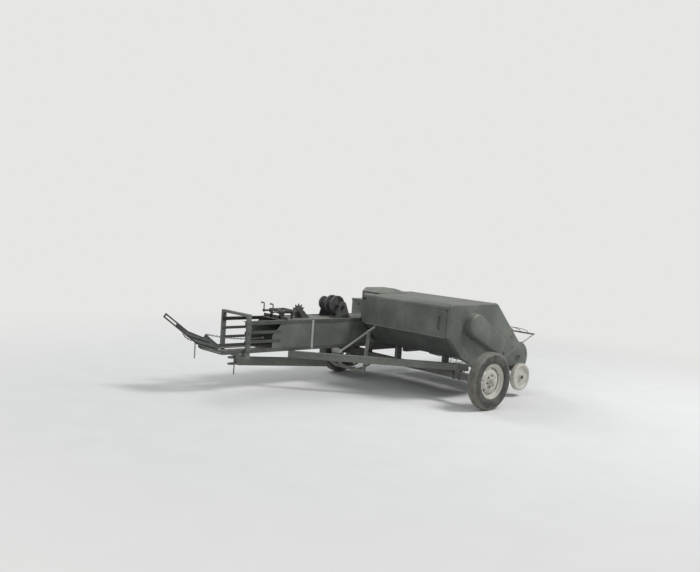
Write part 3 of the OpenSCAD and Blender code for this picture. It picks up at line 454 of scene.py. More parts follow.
@dataclass(frozen=True)
class Finish:
    """What all finishes share: the wiring of spots, streaks and dust into one surface."""

    name: str
    slot: str
    base: str
    rough: float = 0.5

    def noise(self, tree: bpy.types.NodeTree, size: float, low: float, high: float,
              stretch: Point = (1, 1, 1), detail: float = 3) -> bpy.types.NodeSocket:
        """A noise on object coordinates, cut to 0 below low and 1 above high.

        Args:
            tree: The material's node tree.
            size: Size of one feature, in millimetres.
            low: The noise value that becomes 0.
            high: The noise value that becomes 1.
            stretch: Factors on x, y and z; under 1 draws the feature out along that axis.
            detail: Octaves of finer noise on top.

        Returns:
            The socket with the result.
        """
        spot = add(tree, "TexCoord").outputs["Object"]
        if stretch != (1, 1, 1):
            spot = add(tree, "Mapping", {"Vector": spot, "Scale": stretch}).outputs[0]
        raw = add(tree, "TexNoise", {"Vector": spot, "Scale": per(size), "Detail": detail, "Roughness": 0.6})
        return self.span(tree, raw.outputs["Fac"], low, high)

    @staticmethod
    def span(tree: bpy.types.NodeTree, value: bpy.types.NodeSocket, low: float, high: float,
             first: float = 0, last: float = 1) -> bpy.types.NodeSocket:
        """Maps low..high of a value to first..last, smoothly and within those limits."""
        return add(tree, "MapRange", {"Value": value, "From Min": low, "From Max": high, "To Min": first,
                                      "To Max": last}, interpolation_type="SMOOTHSTEP").outputs[0]

    @staticmethod
    def maths(tree: bpy.types.NodeTree, operation: str, *values: object) -> bpy.types.NodeSocket:
        """One sum on numbers or sockets."""
        return add(tree, "Math", dict(enumerate(values)), operation=operation).outputs[0]

    @staticmethod
    def blend(tree: bpy.types.NodeTree, share: object, under: object, over: object) -> bpy.types.NodeSocket:
        """Lays one colour over another by a share from 0 to 1."""
        return add(tree, "Mix", {0: share, 6: under, 7: over}, data_type="RGBA").outputs[2]

    def dust(self, tree: bpy.types.NodeTree, top: float, low: float) -> bpy.types.NodeSocket:
        """Where dust lies: on faces that look up, and near the ground, broken up by noise.

        Args:
            tree: The material's node tree.
            top: How much lies on level faces.
            low: How much the lowest 600 mm hold.

        Returns:
            The socket with the share of dust.
        """
        coords = add(tree, "TexCoord")
        up = add(tree, "SeparateXYZ", {0: coords.outputs["Normal"]}).outputs[2]
        height = add(tree, "SeparateXYZ", {0: coords.outputs["Object"]}).outputs[2]
        lying = self.span(tree, up, 0.35, 1, 0, top)
        thrown = self.span(tree, height, 0.62, 0.04, 0, low)
        patchy = self.noise(tree, 70, 0.25, 0.8, detail=6)
        both = self.maths(tree, "MAXIMUM", lying, thrown)
        return self.maths(tree, "MULTIPLY", both, self.maths(tree, "ADD", 0.35, patchy))

    def surface(self, tree: bpy.types.NodeTree, colour: object, rough: object, bump: object,
                height: float) -> bpy.types.Node:
        """Joins colour, roughness and bump to one shader.

        Args:
            tree: The material's node tree.
            colour: The colour or its socket.
            rough: The roughness or its socket.
            bump: The height's socket.
            height: How far the bump stands out, in metres.

        Returns:
            The shader node.
        """
        normal = add(tree, "Bump", {"Height": bump, "Distance": height, "Strength": 1}).outputs[0]
        shader = add(tree, "BsdfPrincipled", {"Base Color": colour, "Roughness": rough, "Normal": normal})
        add(tree, "OutputMaterial", {"Surface": shader.outputs[0]})
        return shader

    def wire(self, tree: bpy.types.NodeTree) -> None:
        """Lays out the finish's own nodes; each kind of finish has its own."""
        raise NotImplementedError

    def make(self) -> bpy.types.Material:
        """Makes the material, or returns it if it is there already."""
        made = bpy.data.materials.get(self.name)
        if made is None:
            made = bpy.data.materials.new(self.name)
            made.use_nodes = True
            made.node_tree.nodes.clear()
            self.wire(made.node_tree)
        return made


@dataclass(frozen=True)
class Enamel(Finish):
    """Alkyd enamel sprayed on rolled steel sheet: a low, slightly wavy gloss that chalks and chips."""

    faded: str = "#74786f"
    dirt: str = "#8d8b82"
    chip: str = "#3a3735"
    worn: float = 0.5
    dusty: float = 0.5

    def wire(self, tree: bpy.types.NodeTree) -> None:
        """Paint with chalky blotches 350 mm wide, rain streaks, dust, chips to rust and worn edges."""
        blotch = self.noise(tree, 350, 0.35, 0.7, detail=5)
        streak = self.noise(tree, 26, 0.45, 0.8, (1, 1, 0.07), 4)
        colour = self.blend(tree, blotch, linear(self.base), linear(self.faded))
        colour = self.blend(tree, self.maths(tree, "MULTIPLY", streak, 0.14), colour, linear(self.chip))
        dust = self.dust(tree, self.dusty, self.dusty)
        colour = self.blend(tree, dust, colour, linear(self.dirt))
        fleck = self.noise(tree, 9, 0.66, 0.7, detail=2)
        area = self.noise(tree, 120, 0.46, 0.62)
        chips = self.maths(tree, "MULTIPLY", self.maths(tree, "MULTIPLY", fleck, area), self.worn)
        edge = add(tree, "NewGeometry").outputs["Pointiness"]
        rubbed = self.maths(tree, "MULTIPLY", self.span(tree, edge, 0.54, 0.62), self.worn)
        rubbed = self.maths(tree, "MULTIPLY", rubbed, self.noise(tree, 45, 0.4, 0.6))
        colour = self.blend(tree, rubbed, colour, linear(self.faded))
        colour = self.blend(tree, chips, colour, linear(self.chip))
        rough = self.maths(tree, "ADD", self.rough, self.maths(tree, "MULTIPLY", 0.35, dust))
        # Orange peel of 2 mm is too fine to show, so it is drawn as waves of 14 mm over 260 mm oil-canning
        waves = self.maths(tree, "ADD", self.maths(tree, "MULTIPLY", self.noise(tree, 14, 0, 1), 0.05),
                           self.noise(tree, 260, 0, 1, detail=1))
        height = self.maths(tree, "SUBTRACT", waves, self.maths(tree, "MULTIPLY", chips, 0.1))
        self.surface(tree, colour, rough, height, 0.004)


@dataclass(frozen=True)
class Rubber(Finish):
    """Vulcanised tyre rubber from a mould: matt and dark, paler where dust and sun have got to it."""

    dirt: str = "#8a877e"
    hub: Point = (0, 0, 340)
    tread: float = 318

    def wire(self, tree: bpy.types.NodeTree) -> None:
        """Rubber with ground dust by its distance from the hub, and fine cracks in the side walls."""
        spot = add(tree, "TexCoord").outputs["Object"]
        hub = tuple(float(-v) for v in place(self.hub)[0])
        turned = add(tree, "Mapping", {"Vector": spot, "Location": hub}).outputs[0]
        flat = add(tree, "VectorMath", {0: turned, 1: (1, 0, 1)}, operation="MULTIPLY").outputs[0]
        radius = add(tree, "VectorMath", {0: flat}, operation="LENGTH").outputs["Value"]
        tread = self.span(tree, radius, self.tread / 1000 - 0.03, self.tread / 1000 + 0.008)
        mottle = self.noise(tree, 30, 0.3, 0.75, detail=6)
        share = self.maths(tree, "ADD", self.maths(tree, "MULTIPLY", tread, 0.55),
                           self.maths(tree, "MULTIPLY", self.noise(tree, 120, 0.2, 0.8), 0.4))
        share = self.maths(tree, "MULTIPLY", share, self.maths(tree, "ADD", 0.8, self.maths(tree, "MULTIPLY",
                                                                                            0.4, mottle)))
        colour = self.blend(tree, share, linear(self.base), linear(self.dirt))
        rough = self.maths(tree, "ADD", self.rough, self.maths(tree, "MULTIPLY", share, 0.2))
        grain = self.noise(tree, 5, 0.3, 0.8, detail=4)
        self.surface(tree, colour, rough, grain, 0.0006)


@dataclass(frozen=True)
class BareSteel(Finish):
    """Steel that hay has rubbed bright: drawn streaks with brown-grey tarnish between them."""

    tarnish: str = "#4c4844"
    dirt: str = "#8d8b82"
    spotty: float = 0.5
    dusty: float = 0.35

    def wire(self, tree: bpy.types.NodeTree) -> None:
        """Metal with 60 mm tarnish patches, 6 mm rust pits and dust."""
        patches = self.noise(tree, 60, 0.42, 0.66, detail=6)
        pits = self.noise(tree, 6, 0.55, 0.7, detail=3)
        share = self.maths(tree, "MULTIPLY", self.maths(tree, "MAXIMUM", patches, pits), self.spotty)
        colour = self.blend(tree, share, linear(self.base), linear(self.tarnish))
        dust = self.dust(tree, self.dusty, self.dusty)
        colour = self.blend(tree, dust, colour, linear(self.dirt))
        rough = self.maths(tree, "ADD", self.rough, self.maths(tree, "MULTIPLY", 0.3, share))
        shader = self.surface(tree, colour, rough, self.noise(tree, 8, 0.3, 0.8, detail=5), 0.0008)
        metal = self.maths(tree, "SUBTRACT", 1, self.maths(tree, "MAXIMUM", share, dust))
        tree.links.new(metal, shader.inputs["Metallic"])


@dataclass(frozen=True)
class CastIron(Finish):
    """Sand-cast iron under old paint and oil: a pebbled skin, dark, with a greasy shine in patches."""

    oil: str = "#232323"
    dirt: str = "#7b776d"

    def wire(self, tree: bpy.types.NodeTree) -> None:
        """Pebbled skin of 4 mm grain, oil stains 90 mm wide and caked dust."""
        oil = self.noise(tree, 90, 0.5, 0.68, detail=4)
        colour = self.blend(tree, oil, linear(self.base), linear(self.oil))
        dust = self.dust(tree, 0.6, 0.4)
        colour = self.blend(tree, dust, colour, linear(self.dirt))
        rough = self.span(tree, oil, 0, 1, self.rough, 0.28)
        self.surface(tree, colour, rough, self.noise(tree, 4, 0.2, 0.8, detail=2), 0.0008)


PAINT = Enamel("sprayed enamel on sheet steel", "paint", "#5d615c", 0.42)
PAINT_LIGHT = Enamel("sprayed enamel pale", "paint_light", "#7b7f79", 0.45, faded="#8f938b", worn=0.6)
# Paler enamel whose lightness is partly painted sunlight: on the needles and the feeder stay it stands in for
# the sun's light falling on them
PAINT_PALE_SUNLIT = Enamel("enamel paled as painted sunlight", "paint_light", "#a3a69f", 0.5, faded="#b9bcb4", dirt="#989589",
                    worn=0.7)
PAINT_DARK = Enamel("brushed frame enamel", "paint_dark", "#454845", 0.55, faded="#565a55", worn=0.7,
                    dusty=0.6)
WHEEL_PAINT = Enamel("off-white wheel enamel", "wheel_paint", "#c2c0b6", 0.4, faded="#d2d0c7",
                     dirt="#87827a", chip="#4b433b", worn=0.8, dusty=0.3)
STEEL = BareSteel("hay-polished steel", "bare_steel", "#8b8a85", 0.36)
OLD_STEEL = BareSteel("tarnished steel", "bare_steel", "#7b7974", 0.5, spotty=0.85)
CAST = CastIron("oily cast iron", "cast", "#50524f", 0.58)


@dataclass
class Assembly:
    """One sub-assembly: turns forms and CAD nodes into finished pieces."""

    frame: dict

    def piece(self, name: str, form: Form, finish: Finish, body: str, soft: float = 0,
              instead: tuple[str, ...] = (), sharp: float = SHARP) -> bpy.types.Object:
        """Finishes one new piece.

        Args:
            name: The piece's name.
            form: Its shapes.
            finish: Its finish.
            soft: Width of the bevel on its edges, in millimetres; 0 leaves them as they are.
            instead: CAD nodes that it stands for.
            sharp: Angle over which edges stay sharp, in degrees.

        Returns:
            The object.
        """
        return self.coat(form.mesh(name, sharp), finish, body, soft, instead)

    @staticmethod
    def coat(thing: bpy.types.Object, finish: Finish, body: str, soft: float,
             instead: tuple[str, ...]) -> bpy.types.Object:
        """Gives a mesh its finish, its bevel and its body."""
        thing.data.materials.clear()
        thing.data.materials.append(finish.make())
        if soft > 0:
            rim = thing.modifiers.new("rim", "BEVEL")
            rim.width, rim.segments, rim.limit_method = soft / 1000, 2, "ANGLE"
            rim.angle_limit, rim.use_clamp_overlap, rim.harden_normals = math.radians(RIM_ANGLE), True, True
        if body:
            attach(thing, body)
        if instead:
            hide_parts(*instead)
        LOG.info("%s: %d faces on %s", thing.name, len(thing.data.polygons), body)
        return thing

    def eased(self, finish: Finish, body: str, soft: float, *nodes: str) -> None:
        """Copies CAD nodes with their triangles joined and their edges eased, to stand for the nodes.

        Args:
            finish: The copies' finish.
            body: The body that they ride on.
            soft: Width of the bevel on their edges, in millimetres.
            nodes: The nodes' names.
        """
        for node in nodes:
            shape = bmesh.new()
            shape.from_mesh(self.frame["nodes"][node].data)
            bmesh.ops.remove_doubles(shape, verts=shape.verts, dist=1e-5)
            bmesh.ops.dissolve_limit(shape, angle_limit=math.radians(0.4), verts=shape.verts,
                                     edges=shape.edges)
            self.coat(settled(shape, node + "_eased", bpy.data.meshes.new(node + "_eased"), SHARP), finish,
                      body, soft, (node,))


@dataclass
class BaleCase(Assembly):
    """The bale chamber with its rails, rear hoop and tension gear."""

    half: float = 235
    out: float = 240
    low: float = 469
    roof: float = 835
    front: float = 1300
    rear: float = -2400
    upper_rear: float = -2110

    def dress(self) -> None:
        """Eases the case's own nodes and adds its bolts, joints and springs."""
        self.eased(PAINT_DARK, "frame", 1.2, "case_floor")
        self.eased(PAINT, "frame", 1.2, "case_side_right", "case_side_left", "case_top")
        self.eased(PAINT_DARK, "frame", 1.2, "lower_rails", "upper_rails", "side_rails")
        self.eased(PAINT, "frame", 1.2, "rear_hoop")
        self.fasteners()
        self.joints()
        self.tension_gear()

    def fasteners(self) -> None:
        """Coach-bolt heads along the corner irons and hexagon heads on the hoop."""
        form = Form()
        x = np.arange(self.rear + 60, self.front - 20, 155)
        top = x[x > self.upper_rear + 20]
        for side in (-1, 1):
            for row, z in ((x, self.low + 20), (top, self.roof - 20)):
                form.domes(stack(row, side * self.out, z), (0, side, 0), 9)
            form.domes(stack(top + 70, side * 215, self.roof + 5), (0, 0, 1), 8)
            z = np.array((self.low + 16, self.low + 127, self.low + 237, self.roof - 14))
            form.bolts(stack(-2075, side * (self.out + 40), z), (0, side, 0), 22)
        self.piece("case_bolt_heads", form, OLD_STEEL, "frame")

    def joints(self) -> None:
        """The lapped joint strips of the side panels, the right side's strap, and welds at the hoop."""
        form = Form()
        for side in (-1, 1):
            y0, y1 = sorted((side * self.half, side * (self.half + 3.5)))
            form.box((-460, y0, self.low + 46), (-410, y1, self.roof - 42))
        self.piece("panel_joint_strips", form, PAINT, "frame", 1)
        strap = Form()
        strap.box((-1102, -self.out - 4, self.low + 2), (-1070, -self.half, self.roof - 2))
        strap.domes([(-1086, -self.out - 4, z) for z in (self.low + 20, self.roof - 20)], (0, -1, 0), 9)
        self.piece("case_strap", strap, PAINT_PALE_SUNLIT, "frame", 1)
        bead = Form()
        for side in (-1, 1):
            for z in (self.low - 6, self.low + 41, self.roof - 41):
                bead.weld((-2102, side * (self.out + 1), z), (-2048, side * (self.out + 1), z))
            for x in (-1700, -900, -200, 500, 1100):
                bead.weld((x, side * (self.half + 1), self.low + 42),
                          (x + 60, side * (self.half + 1), self.low + 42), 3.5)
        self.piece("case_welds", bead, PAINT_DARK, "frame")

    def tension_gear(self) -> None:
        """Two screws with coil springs, cross bars and cranks over the rear of the case."""
        z, back, front, crank_x = self.roof + 91, -1490, -1310, -1610
        form, springs, bar = Form(), Form(), Form()
        for x in (back, front):
            form.beam((x, -116, z), (x, 116, z), 50, 16)
        form.box((back - 8, -self.out, self.roof + 5), (back + 8, self.out, self.roof + 40))
        for y in (-90, 90):
            for x in (back, front):
                form.box((x - 8, y - 18, self.roof), (x + 8, y + 18, z - 20))
            bar.rod([(crank_x - 10, y, z), (front + 48, y, z)], 10.5, 18)
            for x in np.arange(crank_x + 16, back - 40, 6.5):
                bar.disc((x, y, z), 12.4, 0, 3.4, Axis.X, 14, soft=1.2)
            for x in (back - 22, back + 18, front - 18):
                bar.disc((x, y, z), 27, -6, 6, Axis.X, 24)
            bar.bolts([(front + 8, y, z)], (1, 0, 0), 24, 14)
            springs.coil((back + 24, y, z), (front - 24, y, z), 20, 5.4, 8)
            crank = np.array([(0, 0, -10), (0, 0, 72), (-1, 0, 88), (-8, 0, 96), (-24, 0, 98)])
            bar.rod(crank + (crank_x, y, z), 7.5, 12, up=(0, 1, 0))
            bar.lathe([(0, -1), (9, 0), (11, 5), (10, 14), (11, 22), (8, 26), (0, 27)],
                      (crank_x - 46, y, z + 98), Axis.X, 18)
            bar.disc((crank_x, y, z), 18, -10, 12, Axis.X, 20)
        self.piece("tension_brackets", form, PAINT_DARK, "frame", 1.5, ("tension_gear",))
        self.piece("tension_screws", bar, OLD_STEEL, "frame")
        self.piece("tension_springs", springs, OLD_STEEL, "frame")


@dataclass
class Knotter(Assembly):
    """The two knotters on their shaft, the metering wheel and the needles under the case."""

    x: float = -540
    z: float = 995
    roof: float = 835
    disc: float = 120
    meter: tuple[float, float] = (-1140, 910)
    pivot: tuple[float, float] = (-150, 660)
    swing: float = 530

    def dress(self) -> None:
        """Makes the frame, the discs, the bill hooks, the metering wheel and the needles."""
        self.eased(CAST, "frame", 2, "knotter_frame")
        self.eased(PAINT_DARK, "frame", 1.2, "metering_arm")
        self.discs()
        self.hooks()
        self.metering_wheel()
        self.needles()

    def discs(self) -> None:
        """Cam discs with part gears on the knotter shaft, and the dog clutch at its end."""
        form = Form()
        form.disc((self.x, 0, self.z), 16, -210, 260, Axis.Y, 28)
        for side in (-1, 1):
            y = side * 52
            rim = self.disc
            form.lathe([(16.5, y - 13), (36, y - 13), (40, y - 4), (rim - 24, y - 4),
                        (rim - 18, y - 14), (rim - 2, y - 14), (rim, y - 12), (rim, y + 12),
                        (rim - 2, y + 14), (rim - 18, y + 14), (rim - 24, y + 4), (40, y + 4),
                        (36, y + 26), (16.5, y + 26)], (self.x, 0, self.z), Axis.Y, 56, True)
            for start, teeth in ((20, 9), (150, 6)):
                for k in range(teeth):
                    a = math.radians(start + 7 * k)
                    spot = np.array((self.x + 86 * math.cos(a), y + side * 9, self.z + 86 * math.sin(a)))
                    form.lathe([(0, -6), (4.5, -6), (3, 5), (0, 5)], spot, Axis.Y, 8)
        form.gear((self.x, 0, self.z), Axis.Y, 90, 200, 218, 26, 7)
        form.lathe([(16.5, 218), (50, 218), (50, 228), (44, 232), (44, 246), (48, 250),
                    (48, 255), (16.5, 255)], (self.x, 0, self.z), Axis.Y, 36, True)
        self.piece("knotter_discs", form, CAST, "knotter_shaft", 0, ("knotter_shaft",))

    def hooks(self) -> None:
        """Bill hooks, twine discs and twine fingers at each needle slot, standing on the frame."""
        form, plates = Form(), Form()
        for side in (-1, 1):
            y = side * 100
            form.disc((self.x + 62, y, self.roof), 26, 44, 50, Axis.Z, 24)
            for level in (54, 60, 66):
                plates.gear((self.x + 62, y, self.roof), Axis.Z, 30, self.roof + level - 50,
                            self.roof + level - 47, 8, 6)
            form.rod([(self.x + 62, y, self.roof), (self.x + 62, y, self.roof + 84)], 7)
            spot = (self.x, y, self.roof)
            hook = np.array([(20, 16, 78), (12, 16, 52), (4, 17, 34), (-12, 20, 28), (-34, 22, 32)])
            form.rod(hook * (1, side, 1) + spot, 5, 10, up=(0, 1, 0))
            form.disc((self.x + 22, y + side * 16, self.roof), 15, 74, 86, Axis.Z, 20)
            finger = np.array([(50, -44, 6), (-10, -40, 9), (-40, -10, 9)])
            plates.sweep(finger * (1, side, 1) + spot, slab(7, 2))
            form.coil((self.x + 100, y - side * 34, self.roof + 30),
                      (self.x + 100, y - side * 34, self.roof + 92), 9, 2.4, 8)
            form.bolts([(self.x + 100, y - 14, self.roof + 80), (self.x + 100, y + 14, self.roof + 80)],
                       (0, 0, 1), 16)
        for side in (-1, 1):
            form.bolts([(self.x - 86, side * 186, self.roof), (self.x + 106, side * 186, self.roof)],
                       (0, 0, 1), 18)
            form.box((self.x - 110, min(side * 178, side * 196), self.roof - 1),
                     (self.x + 130, max(side * 178, side * 196), self.roof + 6))
        self.piece("bill_hooks", form, CAST, "frame")
        self.piece("twine_discs", plates, STEEL, "frame")

    def metering_wheel(self) -> None:
        """A thin star wheel with 12 sharp points on its pin."""
        form = Form()
        x, z = self.meter
        t = turn(24)
        r = np.tile((107.5, 74), 12)
        star = stack(x + r * np.cos(t), z + r * np.sin(t))
        form.prism(star, Axis.Y, -3, 3)
        form.disc((x, 0, z), 38, -10, 10, Axis.Y, 28)
        form.disc((x, 0, z), 12, -54, 54, Axis.Y, 20)
        form.bolts([(x, 53, z)], (0, 1, 0), 20, 6)
        self.piece("metering_star", form, OLD_STEEL, "metering_wheel", 0, ("metering_wheel",))

    def needles(self) -> None:
        """Curved cast needles that thin out to a nose with a twine roller, on a tube with side arms."""
        form, steel = Form(), Form()
        x, z = self.pivot
        angles = np.radians(np.linspace(205.5, 317, 46))
        for side in (-1, 1):
            y = side * 100
            path = stack(x + self.swing * np.cos(angles), y, z + self.swing * np.sin(angles))
            grow = np.clip((np.degrees(angles) - 203) / 18, 0.25, 1.05)
            shape = np.array(((-6.5, -9), (-3, -13.5), (3, -13.5), (6.5, -9), (6.5, 9), (3, 13.5),
                              (-3, 13.5), (-6.5, 9)))[:, ::-1]
            outline = np.repeat(shape[None], len(path), 0) * np.stack((grow, 0.55 + 0.45 * grow), -1)[:, None]
            form.sweep(path, outline, (0, 1, 0))
            tip = path[2]
            steel.disc((tip[0], y, tip[2]), 7, -6.9, 6.9, Axis.Y, 16)
        low = math.radians(265)
        tx, tz = x + self.swing * math.cos(low), z + self.swing * math.sin(low)
        form.disc((tx, 0, tz), 22, -293, 293, Axis.Y, 28)
        for side in (-1, 1):
            y0, y1 = sorted((side * 278, side * 292))
            form.prism([(tx - 26, tz), (tx + 26, tz), (x + 28, z), (x - 28, z)], Axis.Y, y0, y1)
            y0, y1 = sorted((side * 276, side * 294))
            form.disc((x, 0, z), 34, y0, y1, Axis.Y, 32, 18.05)
            form.weld((tx - 20, side * 276, tz + 14), (tx + 20, side * 276, tz + 14))
            for k in (-1, 1):
                steel.bolts([(tx, side * 100 + k * 11, tz + 22)], (0, 0, 1), 14)
        # The needles take the pale enamel as painted sunlight on them
        self.piece("needles", form, PAINT_PALE_SUNLIT, "needle_yoke", 1.2, ("needle_yoke",))
        self.piece("needle_rollers", steel, STEEL, "needle_yoke")


@dataclass
class Hood(Assembly):
    """The sheet hood over the cross feeder, with its end panel, drive cover and rear door."""

    right: float = -1755
    left: float = -270
    top: float = 1190
    round: float = 70
    rear: float = -284
    crown: float = 680
    lip: tuple[float, float] = (865, 968)
    groove: float = 1111
    sheet: float = 4
    rim: float = 26
    sole: float = 793
    bearing: tuple[float, float] = (830, 560)
    flight: float = 380
    hinges: tuple[float, ...] = (-600, -1010, -1420)

    def dress(self) -> None:
        """Makes the shell, the end panel with its rolled rim, the cover, the door, the deck and the auger."""
        self.shell()
        self.end_panel()
        self.cover()
        self.door()
        self.eased(PAINT, "frame", 9, "hood_hump")
        self.eased(PAINT_DARK, "frame", 1.2, "feeder_deck")
        self.auger()

    def bends(self, r: float) -> tuple[Array, Array]:
        """The two bends at the top of the hood's outline, in x and z."""
        level = self.top - self.round
        return (bend((self.rear + self.round, level), r, 180, 90, 14),
                bend((self.crown - self.round, level), r, 90, 46, 9))

    def skin(self, grow: float) -> Array:
        """The hood's outline over the top in x and z, grown outwards: rear strip, two bends, front slope."""
        return np.concatenate(([(self.rear - grow, self.groove)], *self.bends(self.round + grow),
                               [(self.lip[0] + grow * 0.7, self.lip[1] + grow * 0.7)]))

    def shell(self) -> None:
        """The top sheet with its left end, a rear strip, a rolled front lip and rivets at each end."""
        outer, inner = self.skin(0), self.skin(-self.sheet)
        near, far = self.right + self.rim, self.left - self.sheet
        form = Form()
        form.prism(np.concatenate((outer, inner[::-1])), Axis.Y, near, far)
        form.prism(np.concatenate((outer, [(self.lip[0], 845), (self.rear, 845)])), Axis.Y, far, self.left)
        form.box((self.rear, self.left - 60, self.sole), (self.rear + self.sheet, far, self.groove))
        form.box((self.rear, near, self.groove - 16), (self.rear + self.sheet, far, self.groove + 2))
        form.box((self.rear, near - 2, self.sole), (self.rear + self.sheet, self.right + 62, self.groove))
        form.rod([(self.lip[0] - 2, near, self.lip[1] - 1), (self.lip[0] - 2, far, self.lip[1] - 1)], 6)
        for hinge in self.hinges:
            form.disc((self.rear - 6, hinge, self.groove + 1), 3, -30, 30, Axis.Y, 12, soft=0.4)
            for side in (-1, 1):
                y = hinge + side * 28
                form.box((self.rear - 10, y - 2, self.groove), (self.rear, y + 2, self.groove + 8))
        self.piece("hood_shell_sheet", form, PAINT, "frame", 1, ("hood_shell",))
        heads = Form()
        x = np.linspace(self.rear + 90, self.crown - 60, 7)
        heads.domes(stack(x, self.right + self.rim + 16, self.top), (0, 0, 1), 7)
        heads.domes(stack(x, self.left - 16, self.top), (0, 0, 1), 7)
        self.piece("hood_rivets", heads, PAINT, "frame")

    def outline(self) -> Array:
        """The end panel's outline in x and z: over the top, down the slope and round the pickup."""
        return np.concatenate((
            [(self.rear, self.sole)], *self.bends(self.round),
            bend((1150, 640), 34, 46, -60, 8),
            [(870, 450), (520, 410), (210, 404), (127, 459), (-30, 529)]))

    def end_panel(self) -> None:
        """A pressed end sheet whose rim rolls over a quarter circle to meet the shell.

        The outline is drawn in by r (1 - cos t) while it goes outwards by r sin t, then closes flat.
        """
        outline = self.outline()
        ahead, behind = np.roll(outline, -1, 0), np.roll(outline, 1, 0)
        t = ahead - behind
        t /= np.linalg.norm(t, axis=1)[:, None]
        inward = stack(t[:, 1], -t[:, 0])
        steps = [(self.rim * (1 - math.cos(a)), self.right + self.rim * (1 - math.sin(a)))
                 for a in np.radians(np.linspace(0, 90, 8))]
        steps += [(self.rim, self.right + 3), (4, self.right + self.rim)]
        rings = [Axis.Y.lay(*(outline + off * inward).T, y) for off, y in steps]
        n = len(outline)
        form = Form()
        form.patch(np.array(rings[:8]), quads(8, n, False, True), (7 * n + np.arange(n))[None])
        form.patch(np.array((rings[8], rings[9], rings[0])), quads(3, n, False, True), np.arange(n)[None])
        self.piece("end_panel_sheet", form, PAINT, "frame", 0, ("hood_end_panel",), 50)
        trim = Form()
        x, z = self.bearing
        trim.disc((x, 0, z), 18, self.right + 8, -1716, Axis.Y, 28)
        trim.disc((x, 0, z), 30, self.right - 3, self.right + 4, Axis.Y, 28)
        trim.bolts([(x, self.right - 3, z)], (0, -1, 0), 30, 12)
        spots = [(-240, 860), (-240, 990), (60, 560), (230, 440), (520, 446), (760, 470),
                 (1010, 620), (960, 760)]
        trim.bolts([(x, self.right, z) for x, z in spots], (0, -1, 0), 17, 6)
        self.piece("end_panel_bolts", trim, PAINT, "frame")

    def cover(self) -> None:
        """The drive cover: a capsule between two circles, drawn up with upright walls and a flat face.

        Each ring is the capsule's outline shrunk and stood out, along a steep wall, a ridge of small
        radius and a face that bulges by 9 mm.
        """
        first, second = np.array((150, 935)), np.array((600, 690))
        r1, r2 = 150, 118
        along = second - first
        span = float(np.linalg.norm(along))
        tilt = math.degrees(math.atan2(along[1], along[0]))
        lean = math.degrees(math.asin((r1 - r2) / span))
        wall = [(0, 0), (1.5, 24), (5, 50), (9, 76)]
        ridge = [(9 + 26 * (1 - math.cos(a)), 76 + 28 * math.sin(a))
                 for a in np.radians(np.linspace(12, 84, 8))]
        face = [(44, 106), (60, 109.5), (80, 112.5), (98, 114.4), (112, 115)]

        def capsule(grow: float) -> Array:
            """The cover's outline, grown by some millimetres."""
            return np.concatenate((bend(first, r1 + grow, tilt + 90 - lean, tilt + 270 + lean, 36),
                                   bend(second, r2 + grow, tilt - 90 + lean, tilt + 90 - lean, 36)))

        rings = [Axis.Y.lay(*capsule(-shrink).T, self.right - out) for shrink, out in wall + ridge + face]
        form = Form()
        form.patch(np.array(rings), *tube(len(rings), len(rings[0])))
        self.piece("drive_cover_pressing", form, PAINT, "frame", 0, ("drive_cover",), 60)
        flange = Form()
        flange.prism(capsule(14), Axis.Y, self.right - 2.5, self.right + 0.5)
        self.piece("drive_cover_flange", flange, PAINT, "frame", 0.8)
        heads = Form()
        rim = np.concatenate((bend(first, r1 + 6, tilt + 105, tilt + 255, 3),
                              bend(second, r2 + 6, tilt - 75, tilt + 75, 3)))
        heads.domes([(x, self.right - 2.5, z) for x, z in rim], (0, -1, 0), 6)
        self.piece("drive_cover_screws", heads, OLD_STEEL, "frame")

    def door(self) -> None:
        """The rear door: a sheet with a bead round it, hinge knuckles and a latch with its handle."""
        x1, x0 = self.rear - 0.3, self.rear - 5
        y0, y1, z0, z1 = self.right + 40, self.left - 66, 781, self.groove - 3
        form = Form()
        form.box((x0, y0, z0), (x1, y1, z1))
        for hinge in self.hinges:
            form.disc((self.rear - 6, hinge, self.groove + 1), 5.5, -24, 24, Axis.Y, 16, 3.05, 0.5)
            form.box((x0 - 1, hinge - 22, z1 - 30), (x0 + 0.5, hinge + 22, z1))
        self.piece("rear_door_sheet", form, PAINT, "rear_door", 0.8, ("rear_door",))
        ridge = Form()
        loop = np.array([(x0, y0 + 10, z0 + 8), (x0, y1 - 10, z0 + 8), (x0, y1 - 10, z1 - 12),
                         (x0, y0 + 10, z1 - 12)])
        for a, b in zip(loop, np.roll(loop, -1, 0)):
            ridge.rod([a, b], 3, 10)
        ridge.rod([(x0 + 1, y0, z0 + 1), (x0 + 1, y1, z0 + 1)], 4, 12)
        self.piece("rear_door_beads", ridge, PAINT, "rear_door")
        latch = Form()
        y = self.right + 150
        latch.box((self.rear - 8, y - 9, 868), (self.rear - 5, y + 9, 1036))
        handle = np.array([(-9, 0, 893), (-26, 0, 893), (-33, 0, 898), (-34, 0, 912), (-34, 0, 996),
                           (-33, 0, 1006), (-26, 0, 1011), (-9, 0, 1011)])
        latch.rod(handle + (self.rear, y, 0), 5.5, 14, up=(0, 1, 0))
        latch.bolts([(self.rear - 8, y, 880), (self.rear - 8, y, 1026)], (-1, 0, 0), 12, 4)
        latch.box((self.rear - 14, y - 40, 1044), (self.rear - 5, y - 8, 1062))
        self.piece("door_handle", latch, OLD_STEEL, "rear_door", 0, ("door_latch",))

